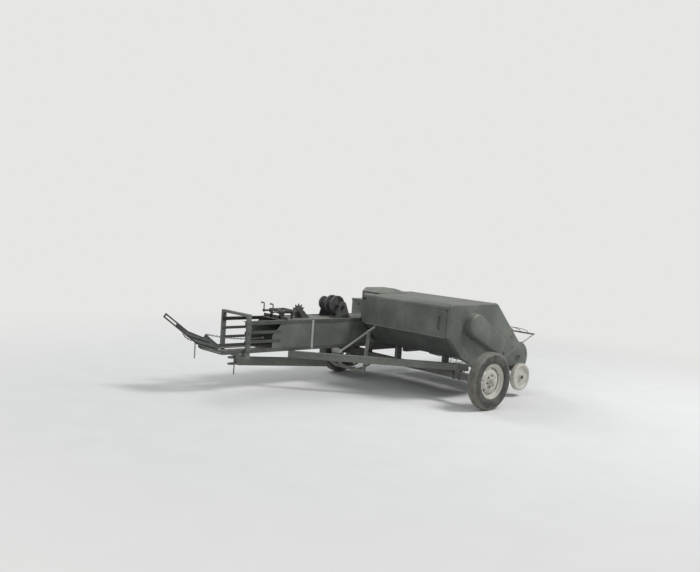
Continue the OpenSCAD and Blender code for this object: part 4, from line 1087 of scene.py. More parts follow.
    def auger(self) -> None:
        """The cross auger: a flight whose edge winds round the tube, and five plain fingers."""
        left, right, x, z = -300, self.right + 40, 330, 745
        form = Form()
        form.lathe([(20.05, right), (45, right), (45, left), (20.05, left)], (x, 0, z), Axis.Y, 36, True)
        y = np.linspace(left - 20, right + 40, 230)
        a = 2 * math.pi * (left - 20 - y) / self.flight
        radii = np.array((44, 165, 165, 44))
        offset = np.array((-3, -1.5, 1.5, 3))
        points = np.stack((x + radii[None] * np.cos(a)[:, None], y[:, None] + offset[None], z + radii[None]
                           * np.sin(a)[:, None]), -1)
        form.patch(points, *tube(len(y), 4))
        for k in range(5):
            ang, at = k * 2.2, right + 180 + k * 230
            u = np.array((math.cos(ang), 0, math.sin(ang)))
            form.rod([np.array((x, at, z)) + 40 * u, np.array((x, at, z)) + 150 * u], 7, 12, up=(0, 1, 0))
        self.piece("auger_flight", form, STEEL, "auger", 0, ("auger",))


@dataclass
class Pickup(Assembly):
    """The pickup at the front: plates, stripper bands, tined reel, wind guard and gauge wheel."""

    right: float = -1730
    left: float = -410
    reel: tuple[float, float] = (1170, 480)
    tine: float = 262
    bands: int = 13
    plate: float = 8
    edge: float = 8
    guard: tuple[float, float] = (900, 655)
    bar: tuple[float, float] = (1510, 765)
    gauge: tuple[float, float] = (1032, 258)
    gauge_y: float = -1880
    gauge_r: float = 174

    def dress(self) -> None:
        """Eases the frame and the bands and makes the rest."""
        self.eased(PAINT, "pickup", 1.2, "pickup_frame")
        self.eased(PAINT_LIGHT, "pickup", 0.8, "stripper_bands")
        self.eased(PAINT_DARK, "pickup", 2, "gauge_bracket")
        self.fasteners()
        self.tined_reel()
        self.wind_guard()
        self.gauge_wheel()

    @property
    def pitch(self) -> float:
        """Distance from one stripper band to the next."""
        return (self.left - self.right - 2 * (self.plate + self.edge)) / self.bands

    def fasteners(self) -> None:
        """Bolts round the side plates, bearing flanges, and a row of band bolts at the back."""
        form = Form()
        x, z = self.reel
        for y, out in ((self.right, -1), (self.left, 1)):
            form.disc((x, 0, z), 46, *sorted((y, y + out * 7)), Axis.Y, 32, 22.1)
            form.bolts(around((x, y + out * 7, z), 34, (45, 135, 225, 315)), (0, out, 0), 13, 5)
            form.bolts(around((x, y, z), 178, (60, 20, -20, -60)), (0, out, 0), 14, 5)
        for i in range(self.bands):
            y = self.right + self.plate + self.edge + (i + 0.5) * self.pitch
            form.domes([(880, y - 16, 600), (880, y + 16, 600), (880, y - 16, 450),
                        (880, y + 16, 450)], (-1, 0, 0), 7)
        self.piece("pickup_bolts", form, PAINT, "pickup")

    def tined_reel(self) -> None:
        """Four bars on three spiders, each bar with a coiled wire tine between every two bands."""
        frame, wires = Form(), Form()
        x, z = self.reel
        frame.disc((x, 0, z), 22, self.right + 2, self.left - 2, Axis.Y, 28)
        for y in (self.right + 40, (self.right + self.left) / 2 - 3, self.left - 46):
            frame.disc((x, 0, z), 122, y, y + 6, Axis.Y, 48)
        for k in range(4):
            a = math.radians(90 * k)
            cx, cz = x + 112 * math.cos(a), z + 112 * math.sin(a)
            frame.disc((cx, 0, cz), 13, self.right + 24, self.left - 24, Axis.Y, 18)
            b = a - math.radians(8)
            tip = np.array((x + self.tine * math.cos(b), 0, z + self.tine * math.sin(b)))
            root = np.array((cx, 0, cz)) + 16 * np.array((math.cos(a + 1.2), 0, math.sin(a + 1.2)))
            for i in range(self.bands - 1):
                y = self.right + self.plate + self.edge + (i + 1) * self.pitch
                t = np.linspace(0, 1, 8)[:, None]
                hook = root + t * (tip - root) + 9 * np.sin(math.pi * t) * np.array((-math.sin(a), 0,
                                                                                     math.cos(a)))
                wires.rod(hook + np.array((0, y, 0)), 3.2, 8, up=(0, 1, 0))
                wires.coil((cx, y - 1, cz), (cx, y + 15, cz), 16, 2.8, 3, 6)
        self.piece("reel_bars", frame, OLD_STEEL, "pickup_reel", 0, ("pickup_reel",))
        self.piece("reel_tines", wires, STEEL, "pickup_reel")

    def wind_guard(self) -> None:
        """Bent arms, a cross bar and ten fingers of round bar that curve back over the tines."""
        form = Form()
        (gx, gz), (bx, bz) = self.guard, self.bar
        inset = self.plate + 10
        for y in (self.right + inset, self.left - inset):
            form.disc((gx, y, gz), 22, -8, 8, Axis.Y, 28, 12.06)
            arm = np.concatenate(([(gx + 18, gz + 1)], bend((1285 - 10, 668 + 40), 40, -88, -62, 6),
                                  [(bx, bz)]))
            form.rod(stack(arm[:, 0], y, arm[:, 1]), 7, 14, up=(0, 1, 0))
        form.disc((bx, 0, bz), 11, self.right + self.plate, self.left - self.plate, Axis.Y, 20)
        for i in range(10):
            y = self.right + 110 + i * (self.left - self.right - 220) / 9
            t = np.linspace(0, 1, 20) ** 2
            path = stack(bx - 500 * t, y, bz + 110 * t ** 0.45)
            form.rod(path, 4.6, 10, up=(0, 1, 0))
            form.weld((bx - 8, y, bz + 10), (bx + 6, y, bz + 10), 3)
        self.piece("wind_guard_rods", form, STEEL, "wind_guard", 0, ("wind_guard",))

    def gauge_wheel(self) -> None:
        """A wheel of two pressed steel halves, dished, with a rounded rim rolled over at the tread."""
        x, z = self.gauge
        spot, r = (x, self.gauge_y, z), self.gauge_r
        form = Form()
        rim = [(r - 12, -34), (r - 5, -29), (r - 1, -20), (r, -8), (r, 8), (r - 1, 20),
               (r - 5, 29), (r - 12, 34)]
        form.lathe([(15.06, -30), (34, -30), (37, -27), (40, -12), (66, -6), (92, -9),
                    (r - 52, -12), (r - 42, -22), (r - 30, -32), (r - 22, -35), *rim,
                    (r - 22, 35), (r - 30, 31), (r - 42, 12), (r - 52, 6), (92, 3), (44, 2),
                    (36, 22), (15.06, 24)], spot, Axis.Y, 84, True)
        self.piece("gauge_wheel_disc", form, WHEEL_PAINT, "gauge_wheel", 0, ("gauge_wheel",), 30)
        painted, small = Form(), Form()
        painted.bolts(around((x, self.gauge_y - 7, z), 58, np.arange(0, 360, 60)), (0, -1, 0), 11, 3)
        self.piece("gauge_wheel_heads", painted, WHEEL_PAINT, "gauge_wheel")
        small.disc((x, self.gauge_y, z), 24, -41, -29, Axis.Y, 28)
        small.bolts([(x, self.gauge_y - 41, z)], (0, -1, 0), 20, 4)
        self.piece("gauge_wheel_bolts", small, OLD_STEEL, "gauge_wheel")


@dataclass
class MainWheel(Assembly):
    """One road wheel: a pressed rim and disc with a tubeless-profile ribbed tyre."""

    name: str
    y: float
    out: float
    tyre_r: float = 340
    tyre_w: float = 140
    rim_r: float = 208
    rim_w: float = 105
    z: float = 340

    def dress(self) -> None:
        """Makes the rim, the disc, the nuts, the hub and the tyre."""
        body = "wheel_" + self.name
        spot = (0, self.y, self.z)
        self.rim(body, spot)
        self.hub(body, spot)
        self.tyre(body, spot)

    def lay(self, profile: list[tuple[float, float]]) -> list[tuple[float, float]]:
        """Turns a profile whose second number grows outwards into one along +Y."""
        return [(r, a * self.out) for r, a in profile]

    def rim(self, body: str, spot: Point) -> None:
        """The drop-centre rim, and the dished disc with eight long openings near its edge.

        The disc's depth is a profile over the radius, less 7 mm times a bump round each opening's middle.
        """
        r, w = self.rim_r, self.rim_w / 2
        form = Form()
        outer = [(r - a, w - b) for a, b in ((40, 38), (18, 24), (16, 13), (1, 9), (0, 3), (2, 0))]
        inner = [(r - a, w - b) for a, b in ((6, 1), (8, 8), (22, 13), (24, 24), (46, 36))]
        form.lathe(self.lay(mirror(outer) + outer + inner + mirror(inner)), spot, Axis.Y, 96, True)
        steps, openings = 192, 8
        t = turn(steps)[:, None]
        profile = np.array([(46, 24), (62, 26), (74, 23), (86, 29), (100, 31), (116, 28),
                            (130, 20), (142, 10), (150, 5), (157, 1), (161.5, -6)])
        radius, along = profile[None, :, 0] + 0 * t, profile[None, :, 1] + 0 * t
        slots = np.clip(1.6 * np.cos(openings * t) - 0.35, 0, 1) * np.exp(-((radius - 146) / 11) ** 2)
        along = along - 7 * slots
        face = Axis.Y.lay(radius * np.cos(t), radius * np.sin(t), along * self.out) + np.asarray(spot)
        back = Axis.Y.lay(radius * np.cos(t), radius * np.sin(t), (along - 6) * self.out) + np.asarray(spot)
        middle = (profile[1:, 0] + profile[:-1, 0]) / 2
        gone = (np.cos(openings * (t[:, 0] + math.pi / steps)) > 0.45)[:, None] & (np.abs(middle
                                                                                          - 144) < 9)[None]
        self.pierced(form, face, back, gone)
        self.piece(body + "_rim", form, WHEEL_PAINT, body, 0, (body,), 40)

    @staticmethod
    def pierced(form: Form, face: Array, back: Array, gone: Array) -> None:
        """Joins a turned face and its back to one closed sheet, with walls round the cells left out.

        Args:
            form: The form that takes the sheet.
            face: Rows of points round the axis, from the hub out.
            back: The same points on the sheet's other side.
            gone: For each cell of the grid, whether it is an opening.
        """
        n, m = face.shape[:2]
        i, j = np.meshgrid(np.arange(n), np.arange(m - 1), indexing="ij")
        i1 = (i + 1) % n
        cell = np.stack((i * m + j, i1 * m + j, i1 * m + j + 1, i * m + j + 1), -1)
        kept = cell[~gone]
        turned = gone != np.roll(gone, 1, 0)
        spoke = np.stack((i * m + j, i * m + j + 1, n * m + i * m + j + 1, n * m + i * m + j), -1)[turned]
        edge = np.concatenate((np.ones((n, 1), bool), gone, np.ones((n, 1), bool)), 1)
        arcs = edge[:, 1:] != edge[:, :-1]
        i, j = np.meshgrid(np.arange(n), np.arange(m), indexing="ij")
        i1 = (i + 1) % n
        arc = np.stack((i * m + j, i1 * m + j, n * m + i1 * m + j, n * m + i * m + j), -1)[arcs]
        form.patch(np.concatenate((face.reshape(-1, 3), back.reshape(-1, 3))), kept, kept + n * m, spoke, arc)

    def hub(self, body: str, spot: Point) -> None:
        """Hub barrel, bearing cap, six wheel nuts on studs and the tyre valve."""
        form = Form()
        form.lathe(self.lay([(22.06, -5), (48, -5), (48, 18), (54, 22), (54, 30), (46, 32),
                             (40, 36), (38, 66), (37, 80), (30, 92), (22.06, 92)]), spot, Axis.Y,
                   48, True)
        form.lathe(self.lay([(0, 76.5), (22, 76.5), (29, 84), (29, 90), (24, 94.5), (0, 95)]),
                   spot, Axis.Y, 36)
        self.piece(body + "_hub", form, WHEEL_PAINT, body)
        nuts = Form()
        nuts.bolts(around((0, self.y + 25 * self.out, self.z), 66, np.arange(15, 375, 60)),
                   (0, self.out, 0), 17, 10)
        valve = np.array([(150 * math.cos(0.5), self.y + 18 * self.out, self.z + 150 * math.sin(0.5)),
                          (146 * math.cos(0.5), self.y + 44 * self.out, self.z + 146 * math.sin(0.5))])
        nuts.rod(valve, 4, 12)
        self.piece(body + "_nuts", nuts, OLD_STEEL, body)

    def tyre(self, body: str, spot: Point) -> None:
        """A ribbed implement tyre: five ribs whose grooves waver, and rings on the side walls.

        The radius over the width is a round crown that falls by 0.0034 mm per mm squared, less the grooves.
        """
        r, h = self.tyre_r, self.tyre_w / 2
        foot = ((-17.5, -18), (1, -9), (5, 0), (12, 6), (20, 11), (24, 12), (27, 13.5))
        side = ((36, 1.5), (52, 0), (62, 0.2), (66, 1.8), (84, 4), (90, 3.6), (101, 8))
        wall = [(self.rim_r + a, self.rim_w / 2 + b) for a, b in foot]
        wall += [(self.rim_r + a, h - b) for a, b in side] + [(r - 18, h - 13), (r - 12, h - 18)]
        across = np.linspace(h - 22, 22 - h, 53)
        crown = r - 0.0034 * across ** 2
        radius, along = np.concatenate((wall, stack(crown, across), mirror(wall))).T
        steps, wavers, notches = 240, 44, 60
        t = turn(steps)[:, None]
        waver = 2.2 * (2 * np.abs((t * wavers / (2 * math.pi)) % 1 - 0.5) - 0.5)
        depth = np.zeros((steps, len(radius)))
        for middle, wide in ((-30, 3.2), (-10.5, 2.8), (10.5, 2.8), (30, 3.2)):
            depth += 7 * np.exp(-((along[None] - middle - waver) / wide) ** 4)
        notch = np.clip(2.5 * np.cos(t * notches) - 1.6, 0, 1)
        shoulder = np.exp(-((np.abs(along[None]) - 52) / 6) ** 4)
        full = radius[None] - depth - 3.5 * notch * shoulder
        points = Axis.Y.lay(full * np.cos(t), full * np.sin(t), along[None] + 0 * t) + np.asarray(spot)
        form = Form()
        form.patch(points, quads(steps, len(radius), True, True))
        finish = Rubber("moulded tyre rubber " + self.name, "rubber", "#363635", 0.72, hub=spot, tread=322)
        self.piece("tyre_" + self.name + "_casing", form, finish, body, 0, ("tyre_" + self.name,), 50)


@dataclass
class RunningFrame(Assembly):
    """Axle, frame beams, braces and the wagon hitch under the case."""

    def dress(self) -> None:
        """Eases the beams and adds welds, bolts and the wagon pin."""
        self.eased(PAINT_DARK, "frame", 2.5, "front_frame")
        self.eased(PAINT_DARK, "frame", 3, "axle")
        self.eased(PAINT, "frame", 4, "diagonal_beam")
        # The feeder stay takes the pale enamel as painted sunlight on it
        self.eased(PAINT_PALE_SUNLIT, "frame", 1.5, "feeder_stay")
        self.eased(PAINT, "frame", 3, "wagon_hitch")
        self.eased(PAINT, "frame", 4, "hitch_beam")
        self.welds()
        self.fasteners()
        self.pin()

    def welds(self) -> None:
        """Weld beads where the posts and beams meet."""
        form = Form()
        for y in (-700, -1500):
            for x in (-38, 38):
                form.weld((x, y - 25, 366), (x, y + 25, 366))
        for side in (-1, 1):
            form.weld((-40, side * 180, 390), (40, side * 180, 390))
            for x in (900, 1520):
                form.weld((x, side * 121, 391), (x + 60, side * 121, 391))
        for x in (-720, -660, -1960, -1900):
            form.weld((x, -28, 463), (x, 28, 463))
        form.weld((-2035, -34, 391.5), (-2035, 34, 391.5))
        self.piece("frame_welds", form, PAINT_DARK, "frame")

    def fasteners(self) -> None:
        """U-bolts that hold the cross tube to the sills, and bolts of the stay and the diagonal beam."""
        form = Form()
        for side in (-1, 1):
            y = side * 150
            for x in (-24, 24):
                path = np.array([(x, y - 42, 372), (x, y - 42, 300), (x, y - 38, 286), (x, y - 28, 281),
                                 (x, y + 28, 281), (x, y + 38, 286), (x, y + 42, 300), (x, y + 42, 372)])
                form.rod(path, 6.5, 12, up=(1, 0, 0))
        form.bolts([(-715, -352, 462), (-684, -352, 462)], (0, 0, 1), 14, 4)
        form.bolts([(-1424, -262, 464), (-1396, -280, 464)], (0, 0, 1), 18, 6)
        for y in (-1764, -1676):
            path = np.array([(-52, y, 468), (-52, y, 300), (-48, y, 287), (-36, y, 279),
                             (36, y, 279), (48, y, 287), (52, y, 300), (52, y, 468)])
            form.rod(path, 6.5, 12, up=(0, 1, 0))
        form.bolts([(-284, -524.5, 764), (-262, -524.5, 748)], (0, -1, 0), 14, 5)
        self.piece("frame_bolts", form, OLD_STEEL, "frame")

    def pin(self) -> None:
        """The wagon pin on its keeper, hanging beside the jaw, with a bent handle."""
        x, y = -2100, -46
        form = Form()
        form.lathe([(0, 180), (4, 181), (7, 188), (7, 368), (0, 368)], (x, y, 0), Axis.Z, 18)
        form.rod([(x, y, 366), (x, y, 377), (x + 1, y + 3, 381), (x + 2, y + 10, 381)], 4.6, 12, up=(1, 0, 0))
        form.disc((x, y, 0), 12, 352, 360, Axis.Z, 20)
        self.piece("wagon_pin_bar", form, OLD_STEEL, "frame", 0, ("wagon_pin",))


@dataclass
class DriveLine(Assembly):
    """Gearbox, flywheel, drive shaft and the stand that carries it."""

    z: float = 700
    wheel_x: float = 1650
    radius: float = 300
    box_x: float = 1436

    def dress(self) -> None:
        """Makes the housing, the flywheel and the shaft with its joints."""
        self.eased(CAST, "frame", 8, "gearbox")
        self.eased(PAINT_DARK, "drawbar", 1.5, "pto_stand")
        self.housing()
        self.flywheel()
        self.shaft()

    def housing(self) -> None:
        """Flange bolts, cooling ribs, the filler plug and the side covers of the gearbox."""
        form, plugs = Form(), Form()
        for side in (-1, 1):
            y0, y1 = sorted((side * 180, side * 192))
            form.disc((self.box_x, 0, self.z), 96, y0, y1, Axis.Y, 48)
            form.disc((self.box_x, 0, self.z), 44, *sorted((side * 190, side * 212)), Axis.Y, 36)
            plugs.bolts(around((self.box_x, side * 192, self.z), 82, np.arange(0, 360, 45)),
                        (0, side, 0), 15, 6)
        for y in (-150, -75, 0, 75, 150):
            form.box((1330, y - 4, 466), (1568, y + 4, self.z - 4))
        y = np.array((-205, -205, 205, 205, -205, 205))
        z = np.array((500, 650, 500, 650, 800, 800))
        plugs.bolts(stack(1312, y, z), (1, 0, 0), 20, 8)
        plugs.bolts([(self.box_x, 60, self.z + 123)], (0, 0, 1), 26, 12)
        self.piece("gearbox_ribs", form, CAST, "frame", 2.5)
        self.piece("gearbox_bolts", plugs, OLD_STEEL, "frame")

    def flywheel(self) -> None:
        """A cast flywheel: heavy rim, dished web with six ribs, hub and slip clutch."""
        x, r = self.wheel_x, self.radius
        spot = (x, 0, self.z)
        form = Form()
        form.lathe([(44, -10), (60, -10), (66, 14), (96, 28), (r - 62, 30), (r - 48, 22),
                    (r - 40, 4), (r - 36, 0), (r - 3, 0), (r, 3), (r, 87), (r - 3, 90),
                    (r - 36, 90), (r - 40, 86), (r - 48, 64), (r - 62, 54), (96, 54), (66, 74),
                    (60, 100), (44, 100)], spot, Axis.X, 96, True)
        for k in range(6):
            a = math.radians(60 * k)
            mid = np.array((x + 42, 84 * math.cos(a), self.z + 84 * math.sin(a)))
            far = np.array((x + 42, 250 * math.cos(a), self.z + 250 * math.sin(a)))
            form.sweep(np.array((mid, far)), slab(24, 9), (1, 0, 0))
        self.piece("flywheel_casting", form, PAINT_LIGHT, "flywheel", 1.5, ("flywheel",))
        clutch, small = Form(), Form()
        clutch.disc(spot, 30, -88, -9, Axis.X, 32)
        clutch.disc(spot, 46, -10, 235, Axis.X, 40)
        for at in (104, 118, 132):
            clutch.disc(spot, 92, at, at + 8, Axis.X, 48)
        clutch.disc(spot, 22, 230, 300, Axis.X, 28)
        a = np.radians(np.arange(0, 360, 60))
        for y, z in zip(74 * np.cos(a), 74 * np.sin(a)):
            small.coil((x + 142, y, self.z + z), (x + 172, y, self.z + z), 8, 2.3, 5, 6)
            small.rod([(x + 98, y, self.z + z), (x + 178, y, self.z + z)], 4.6, 12)
            small.bolts([(x + 176, y, self.z + z)], (1, 0, 0), 12, 5)
        cross = x + 310
        for side in (-1, 1):
            clutch.beam((cross - 34, side * 30, self.z), (cross + 4, side * 30, self.z), 26, 10)
        clutch.disc((cross - 36, 0, self.z), 36, -8, 6, Axis.X, 32)
        self.spider(clutch, cross, 36, 10, 18)
        self.piece("slip_clutch", clutch, OLD_STEEL, "flywheel", 1)
        self.piece("clutch_springs", small, STEEL, "flywheel")

    def spider(self, form: Form, x: float, reach: float, radius: float, sides: int) -> None:
        """The crossed pins of a universal joint."""
        form.rod([(x, -reach, self.z), (x, reach, self.z)], radius, sides)
        form.rod([(x, 0, self.z - reach), (x, 0, self.z + reach)], radius, sides)

    def shaft(self) -> None:
        """The shaft's tube, the bell guard over the flywheel's joint, the yoke and the stand's bolts."""
        form = Form()
        form.lathe([(54, 1930), (68, 1930), (75, 1940), (75, 2006), (60, 2020), (24, 2022),
                    (24, 2016), (54, 2014), (66, 2002), (66, 1944), (60, 1936)],
                   (0, 0, self.z), Axis.X, 48, True)
        self.piece("joint_guard", form, PAINT_DARK, "pto_shaft")
        tube = Form()
        tube.disc((0, 0, self.z), 24, 2015, 2574, Axis.X, 36)
        tube.lathe([(17.6, 2720), (30, 2720), (34, 2716), (34, 2646), (30, 2640), (30, 2600),
                    (34, 2594), (34, 2572), (0, 2570), (0, 2644), (17.6, 2644)],
                   (0, 0, self.z), Axis.X, 40)
        for side in (-1, 1):
            tube.beam((2576, side * 27, self.z), (2640, side * 27, self.z), 24, 11)
        self.spider(tube, 2608, 34, 9, 16)
        tube.rod([(2690, 0, self.z + 28), (2690, 0, self.z + 44)], 6, 12)
        for x in (2060, 2330, 2530):
            tube.disc((x, 0, self.z), 27, -9, 9, Axis.X, 32)
        self.piece("drive_shaft", tube, OLD_STEEL, "pto_shaft", 0, ("pto_shaft",))
        stand = Form()
        stand.bolts([(2395, -32, 388), (2395, 32, 388), (2485, -32, 388), (2485, 32, 388)], (0, 0, 1), 18, 8)
        stand.weld((2432, -44, 389), (2432, 44, 389))
        stand.lathe([(0, 50), (4, 50), (4, 60), (2.5, 62), (0, 62)], (2440, 0, self.z), Axis.Z, 10)
        self.piece("stand_bolts", stand, OLD_STEEL, "drawbar")


@dataclass
class Drawbar(Assembly):
    """The swinging drawbar with its jack."""

    z: float = 340

    def dress(self) -> None:
        """Eases the bar and the jack and adds welds, collars, and the jack's rims, grip and pin boss."""
        self.eased(PAINT, "drawbar", 3, "drawbar")
        self.eased(PAINT_LIGHT, "jack", 1.2, "jack_tube")
        self.eased(OLD_STEEL, "jack", 1, "jack_foot")
        form = Form()
        for x in (2040, 2880):
            for side in (-1, 1):
                form.weld((x, side * 50, self.z - 38), (x, side * 50, self.z + 38))
        self.piece("drawbar_welds", form, PAINT_DARK, "drawbar")
        pins = Form()
        pins.disc((1960, 0, self.z), 30, 57, 62, Axis.Z, 28)
        pins.disc((1960, 0, self.z), 30, -62, -57, Axis.Z, 28)
        self.piece("swing_pin_collars", pins, OLD_STEEL, "frame")
        jack = Form()
        x, y = 2495, 110
        jack.disc((x, y, 0), 36, 560, 572, Axis.Z, 32)
        jack.disc((x, y, 0), 36, 190, 204, Axis.Z, 32, 26.2)
        jack.lathe([(0, 0), (13, 2), (14.5, 14), (12, 40), (14.5, 66), (13, 74), (0, 76)],
                   (x + 112, y + 6, self.z + 285), Axis.Y, 20)
        jack.disc((2480, 0, self.z), 26, 82, 86, Axis.Y, 28)
        self.piece("jack_grip", jack, OLD_STEEL, "jack")


@dataclass
class TwineBox(Assembly):
    """The twine box at the left of the case with its lid."""

    x: tuple[float, float] = (370, 980)
    y: tuple[float, float] = (250, 640)
    z: tuple[float, float] = (560, 1000)

    def dress(self) -> None:
        """Eases box and lid and adds pressed beads, rivets, twine eyes and a hasp."""
        self.eased(PAINT, "frame", 1.5, "twine_box")
        self.eased(PAINT_LIGHT, "twine_lid", 1.2, "twine_lid")
        (x0, x1), (y0, y1), (z0, z1) = self.x, self.y, self.z
        beads, heads = Form(), Form()
        for z in (z0 + 110, z0 + 220, z0 + 330):
            beads.rod([(x0 + 50, y1 - 1, z), (x1 - 50, y1 - 1, z)], 5, 12)
            for x in (x0, x1):
                beads.rod([(x, y0 + 50, z), (x, y1 - 50, z)], 5, 12)
        x = np.linspace(x0 + 30, x1 - 30, 8)
        heads.domes(stack(x, y1, z0 + 16), (0, 1, 0), 5)
        z = np.linspace(z0 + 40, z1 - 50, 6)
        for at in (x0 + 14, x1 - 14):
            heads.domes(stack(at, y1, z), (0, 1, 0), 5)
        for at in (y0 + 110, y0 + 250):
            t = turn(20)
            loop = stack(x0 - 2, at + 15 * np.cos(t), z1 - 70 + 15 * np.sin(t))
            heads.rod(loop, 3.5, 8, True, up=(1, 0, 0))
        heads.box(((x0 + x1) / 2 - 14, y1 - 0.5, z1 - 90), ((x0 + x1) / 2 + 14, y1 + 4, z1 - 30))
        self.piece("box_beads", beads, PAINT, "frame")
        self.piece("box_fittings", heads, OLD_STEEL, "frame")


@dataclass
class Chute(Assembly):
    """The rear bale chute: a sheet with a slanting rear edge, a short near wall and a long slotted bar."""

    x: float = -2412
    z: float = 499
    slope: float = 36
    width: float = 440

    def on(self, points: Array | list) -> Array:
        """Turns points on the chute, x backwards along it, into place by its slope."""
        points = np.asarray(points, float)
        a = math.radians(self.slope)
        x = self.x + points[:, 0] * math.cos(a) + points[:, 2] * math.sin(a)
        z = self.z - points[:, 0] * math.sin(a) + points[:, 2] * math.cos(a)
        return stack(x, points[:, 1], z)

    def dress(self) -> None:
        """Eases the sheet and makes ribs, rivets, a lug and chains."""
        self.eased(PAINT_DARK, "bale_chute", 1, "bale_chute")
        half = self.width / 2
        ribs, bolts = Form(), Form()
        upward = (0.588, 0, 0.809)
        for near, far in ((-60, -60), (-190, -215), (-288, -400)):
            path = self.on([(near, -half + 5, -6), (far, half - 10, -6)])
            ribs.sweep(path, slab(13, 4.5))
            y = np.linspace(-170, 170, 5)
            at = near + (far - near) * (y + half) / (2 * half)
            bolts.domes(self.on(stack(at, y, 2)), upward, 6)
        lug = self.on([(-296, 0, 28), (-268, 0, 28), (-273, 0, 58), (-291, 0, 58)])
        ribs.prism(lug[:, [0, 2]], Axis.Y, -half - 7, -half - 2)
        self.piece("chute_ribs", ribs, PAINT_DARK, "bale_chute", 1)
        self.piece("chute_rivets", bolts, OLD_STEEL, "bale_chute")
        self.chains(half)

    def chains(self, half: float) -> None:
        """A slack loop and a hanging end on the far side, and the near stay chain to the case.

        The slack loop is a rope of links through points measured in the photograph's plane of that side.
        """
        links = Form()
        y = half + 9.5
        loop = [(-2653, y, 690), (-2642, y, 650), (-2620, y, 620), (-2592, y, 599), (-2555, y, 578),
                (-2520, y, 569), (-2477, y, 552), (-2477, y, 359)]
        links.chain(loop, 24, 3)
        links.bolts([(-2477, half, 549)], (0, 1, 0), 16, 5)
        self.piece("chute_chain_links", links, OLD_STEEL, "bale_chute", 0, ("chute_chains",))
        stay = Form()
        t = np.linspace(0, 1, 24)
        stay.chain(stack(-2621 + 763 * t, -half - 12 - 10 * t, 708 - 69 * t - 26 * np.sin(math.pi * t)), 24,
                   3)
        thing = self.piece("chute_stay_chain", stay, OLD_STEEL, "")
        start, end = (tuple(float(v) for v in place((x, -240, 690))[0]) for x in (-2380, -2450))
        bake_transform(thing)
        hook = Form()
        hook.bolts([(-1850, -240, 640)], (0, -1, 0), 22, 10)
        self.piece("stay_chain_bolt", hook, OLD_STEEL, "frame")


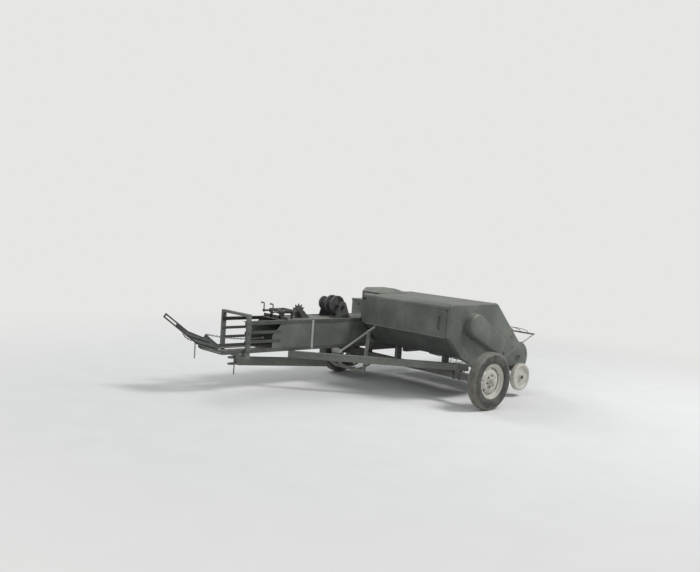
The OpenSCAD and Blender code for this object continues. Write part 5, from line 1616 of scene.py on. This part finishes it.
@dataclass
class Studio:
    """Floor, world, lamps and the camera at the photograph's angle."""

    eye: Point = (-7572.35, -7923.75, 1985.4)
    yaw: float = 42.6098
    pitch: float = 3.9756
    roll: float = 3.8567
    lens: float = 41.72
    pale: str = "#e6e6e4"
    reach: float = 90
    fade: tuple[float, float] = (3.2, 8.5)
    aim: Point = (0, 0, 0.5)

    def build(self) -> None:
        """Sets the floor, the light and the camera."""
        self.floor()
        self.light()
        self.camera()
        bpy.context.scene.view_settings.view_transform = "Standard"

    def floor(self) -> None:
        """A wide pale matt disc; the camera sees it fade into the background's own colour far out.

        The fade grows with the distance from the middle and counts for camera rays only, so it adds no light.
        """
        data = bpy.data.meshes.new("studio_floor")
        rim = ring(self.reach, 96)
        data.from_pydata(stack(*rim.T, 0).tolist(), [], [list(range(96))])
        thing = bpy.data.objects.new("studio_floor", data)
        bpy.context.scene.collection.objects.link(thing)
        material = bpy.data.materials.new("matt studio floor")
        material.use_nodes = True
        tree = material.node_tree
        tree.nodes.clear()
        spot = add(tree, "TexCoord").outputs["Object"]
        mottle = add(tree, "TexNoise", {"Vector": spot, "Scale": per(400), "Detail": 4}).outputs["Fac"]
        colour = Finish.blend(tree, mottle, linear("#dcdcda"), linear("#e4e4e2"))
        matt = add(tree, "BsdfDiffuse", {"Color": colour})
        away = add(tree, "VectorMath", {0: spot}, operation="LENGTH").outputs["Value"]
        share = Finish.maths(tree, "MULTIPLY", Finish.span(tree, away, *self.fade),
                             add(tree, "LightPath").outputs["Is Camera Ray"])
        glow = add(tree, "Emission", {"Color": linear(self.pale), "Strength": 1})
        both = add(tree, "MixShader", {0: share, 1: matt.outputs[0], 2: glow.outputs[0]})
        add(tree, "OutputMaterial", {"Surface": both.outputs[0]})
        data.materials.append(material)

    def light(self) -> None:
        """A pale world, a large soft key from the right and above, and weaker lamps behind and left."""
        world = bpy.data.worlds.new("studio")
        bpy.context.scene.world = world
        world.use_nodes = True
        tree = world.node_tree
        tree.nodes.clear()
        ray = add(tree, "LightPath").outputs["Is Camera Ray"]
        colour = Finish.blend(tree, ray, linear("#dfe3e8"), linear(self.pale))
        strength = add(tree, "MapRange", {"Value": ray, "To Min": 0.5, "To Max": 1}).outputs[0]
        sky = add(tree, "Background", {"Color": colour, "Strength": strength})
        add(tree, "OutputWorld", {"Surface": sky.outputs[0]})
        lamps = (("key", (5, -7.2, 11.6), 4, 1230), ("fill", (-10, -1, 6), 6, 130),
                 ("back", (-2, 9.5, 8.5), 6, 420))
        for name, spot, size, power in lamps:
            lamp = bpy.data.lights.new(name, "AREA")
            lamp.size, lamp.energy = size, power
            thing = bpy.data.objects.new(name, lamp)
            thing.location = spot
            thing.rotation_euler = (Vector(self.aim) - Vector(spot)).to_track_quat("-Z", "Y").to_euler()
            bpy.context.scene.collection.objects.link(thing)

    def camera(self) -> None:
        """The camera that was fitted to the photograph: yaw to the right of +Y, pitch down, and roll."""
        yaw, pitch, roll = (math.radians(v) for v in (self.yaw, self.pitch, self.roll))
        ahead = np.array((math.sin(yaw) * math.cos(pitch), math.cos(yaw) * math.cos(pitch), -math.sin(pitch)))
        level = np.array((math.cos(yaw), -math.sin(yaw), 0))
        down = np.cross(ahead, level)
        right = level * math.cos(roll) - down * math.sin(roll)
        low = level * math.sin(roll) + down * math.cos(roll)
        lens = bpy.data.cameras.new("camera")
        lens.lens, lens.sensor_width, lens.clip_start, lens.clip_end = self.lens, 36, 0.05, 200
        thing = bpy.data.objects.new("camera", lens)
        turned = stack(right, -low, -ahead, place(self.eye)[0])
        thing.matrix_world = Matrix([*turned.tolist(), [0, 0, 0, 1]])
        bpy.context.scene.collection.objects.link(thing)
        bpy.context.scene.camera = thing


def main() -> None:
    """Loads the frame, builds the studio and dresses each sub-assembly in order."""
    logging.basicConfig(level=logging.INFO, format="%(message)s")
    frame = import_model()
    Studio().build()
    parts = (BaleCase(frame), Knotter(frame), Hood(frame), Pickup(frame),
             MainWheel(frame, "right", -2185, -1), MainWheel(frame, "left", 425, 1), RunningFrame(frame),
             DriveLine(frame), Drawbar(frame), TwineBox(frame), Chute(frame))
    for part in parts:
        part.dress()
        LOG.info("%s done", type(part).__name__)


if __name__ == "__main__":
    main()
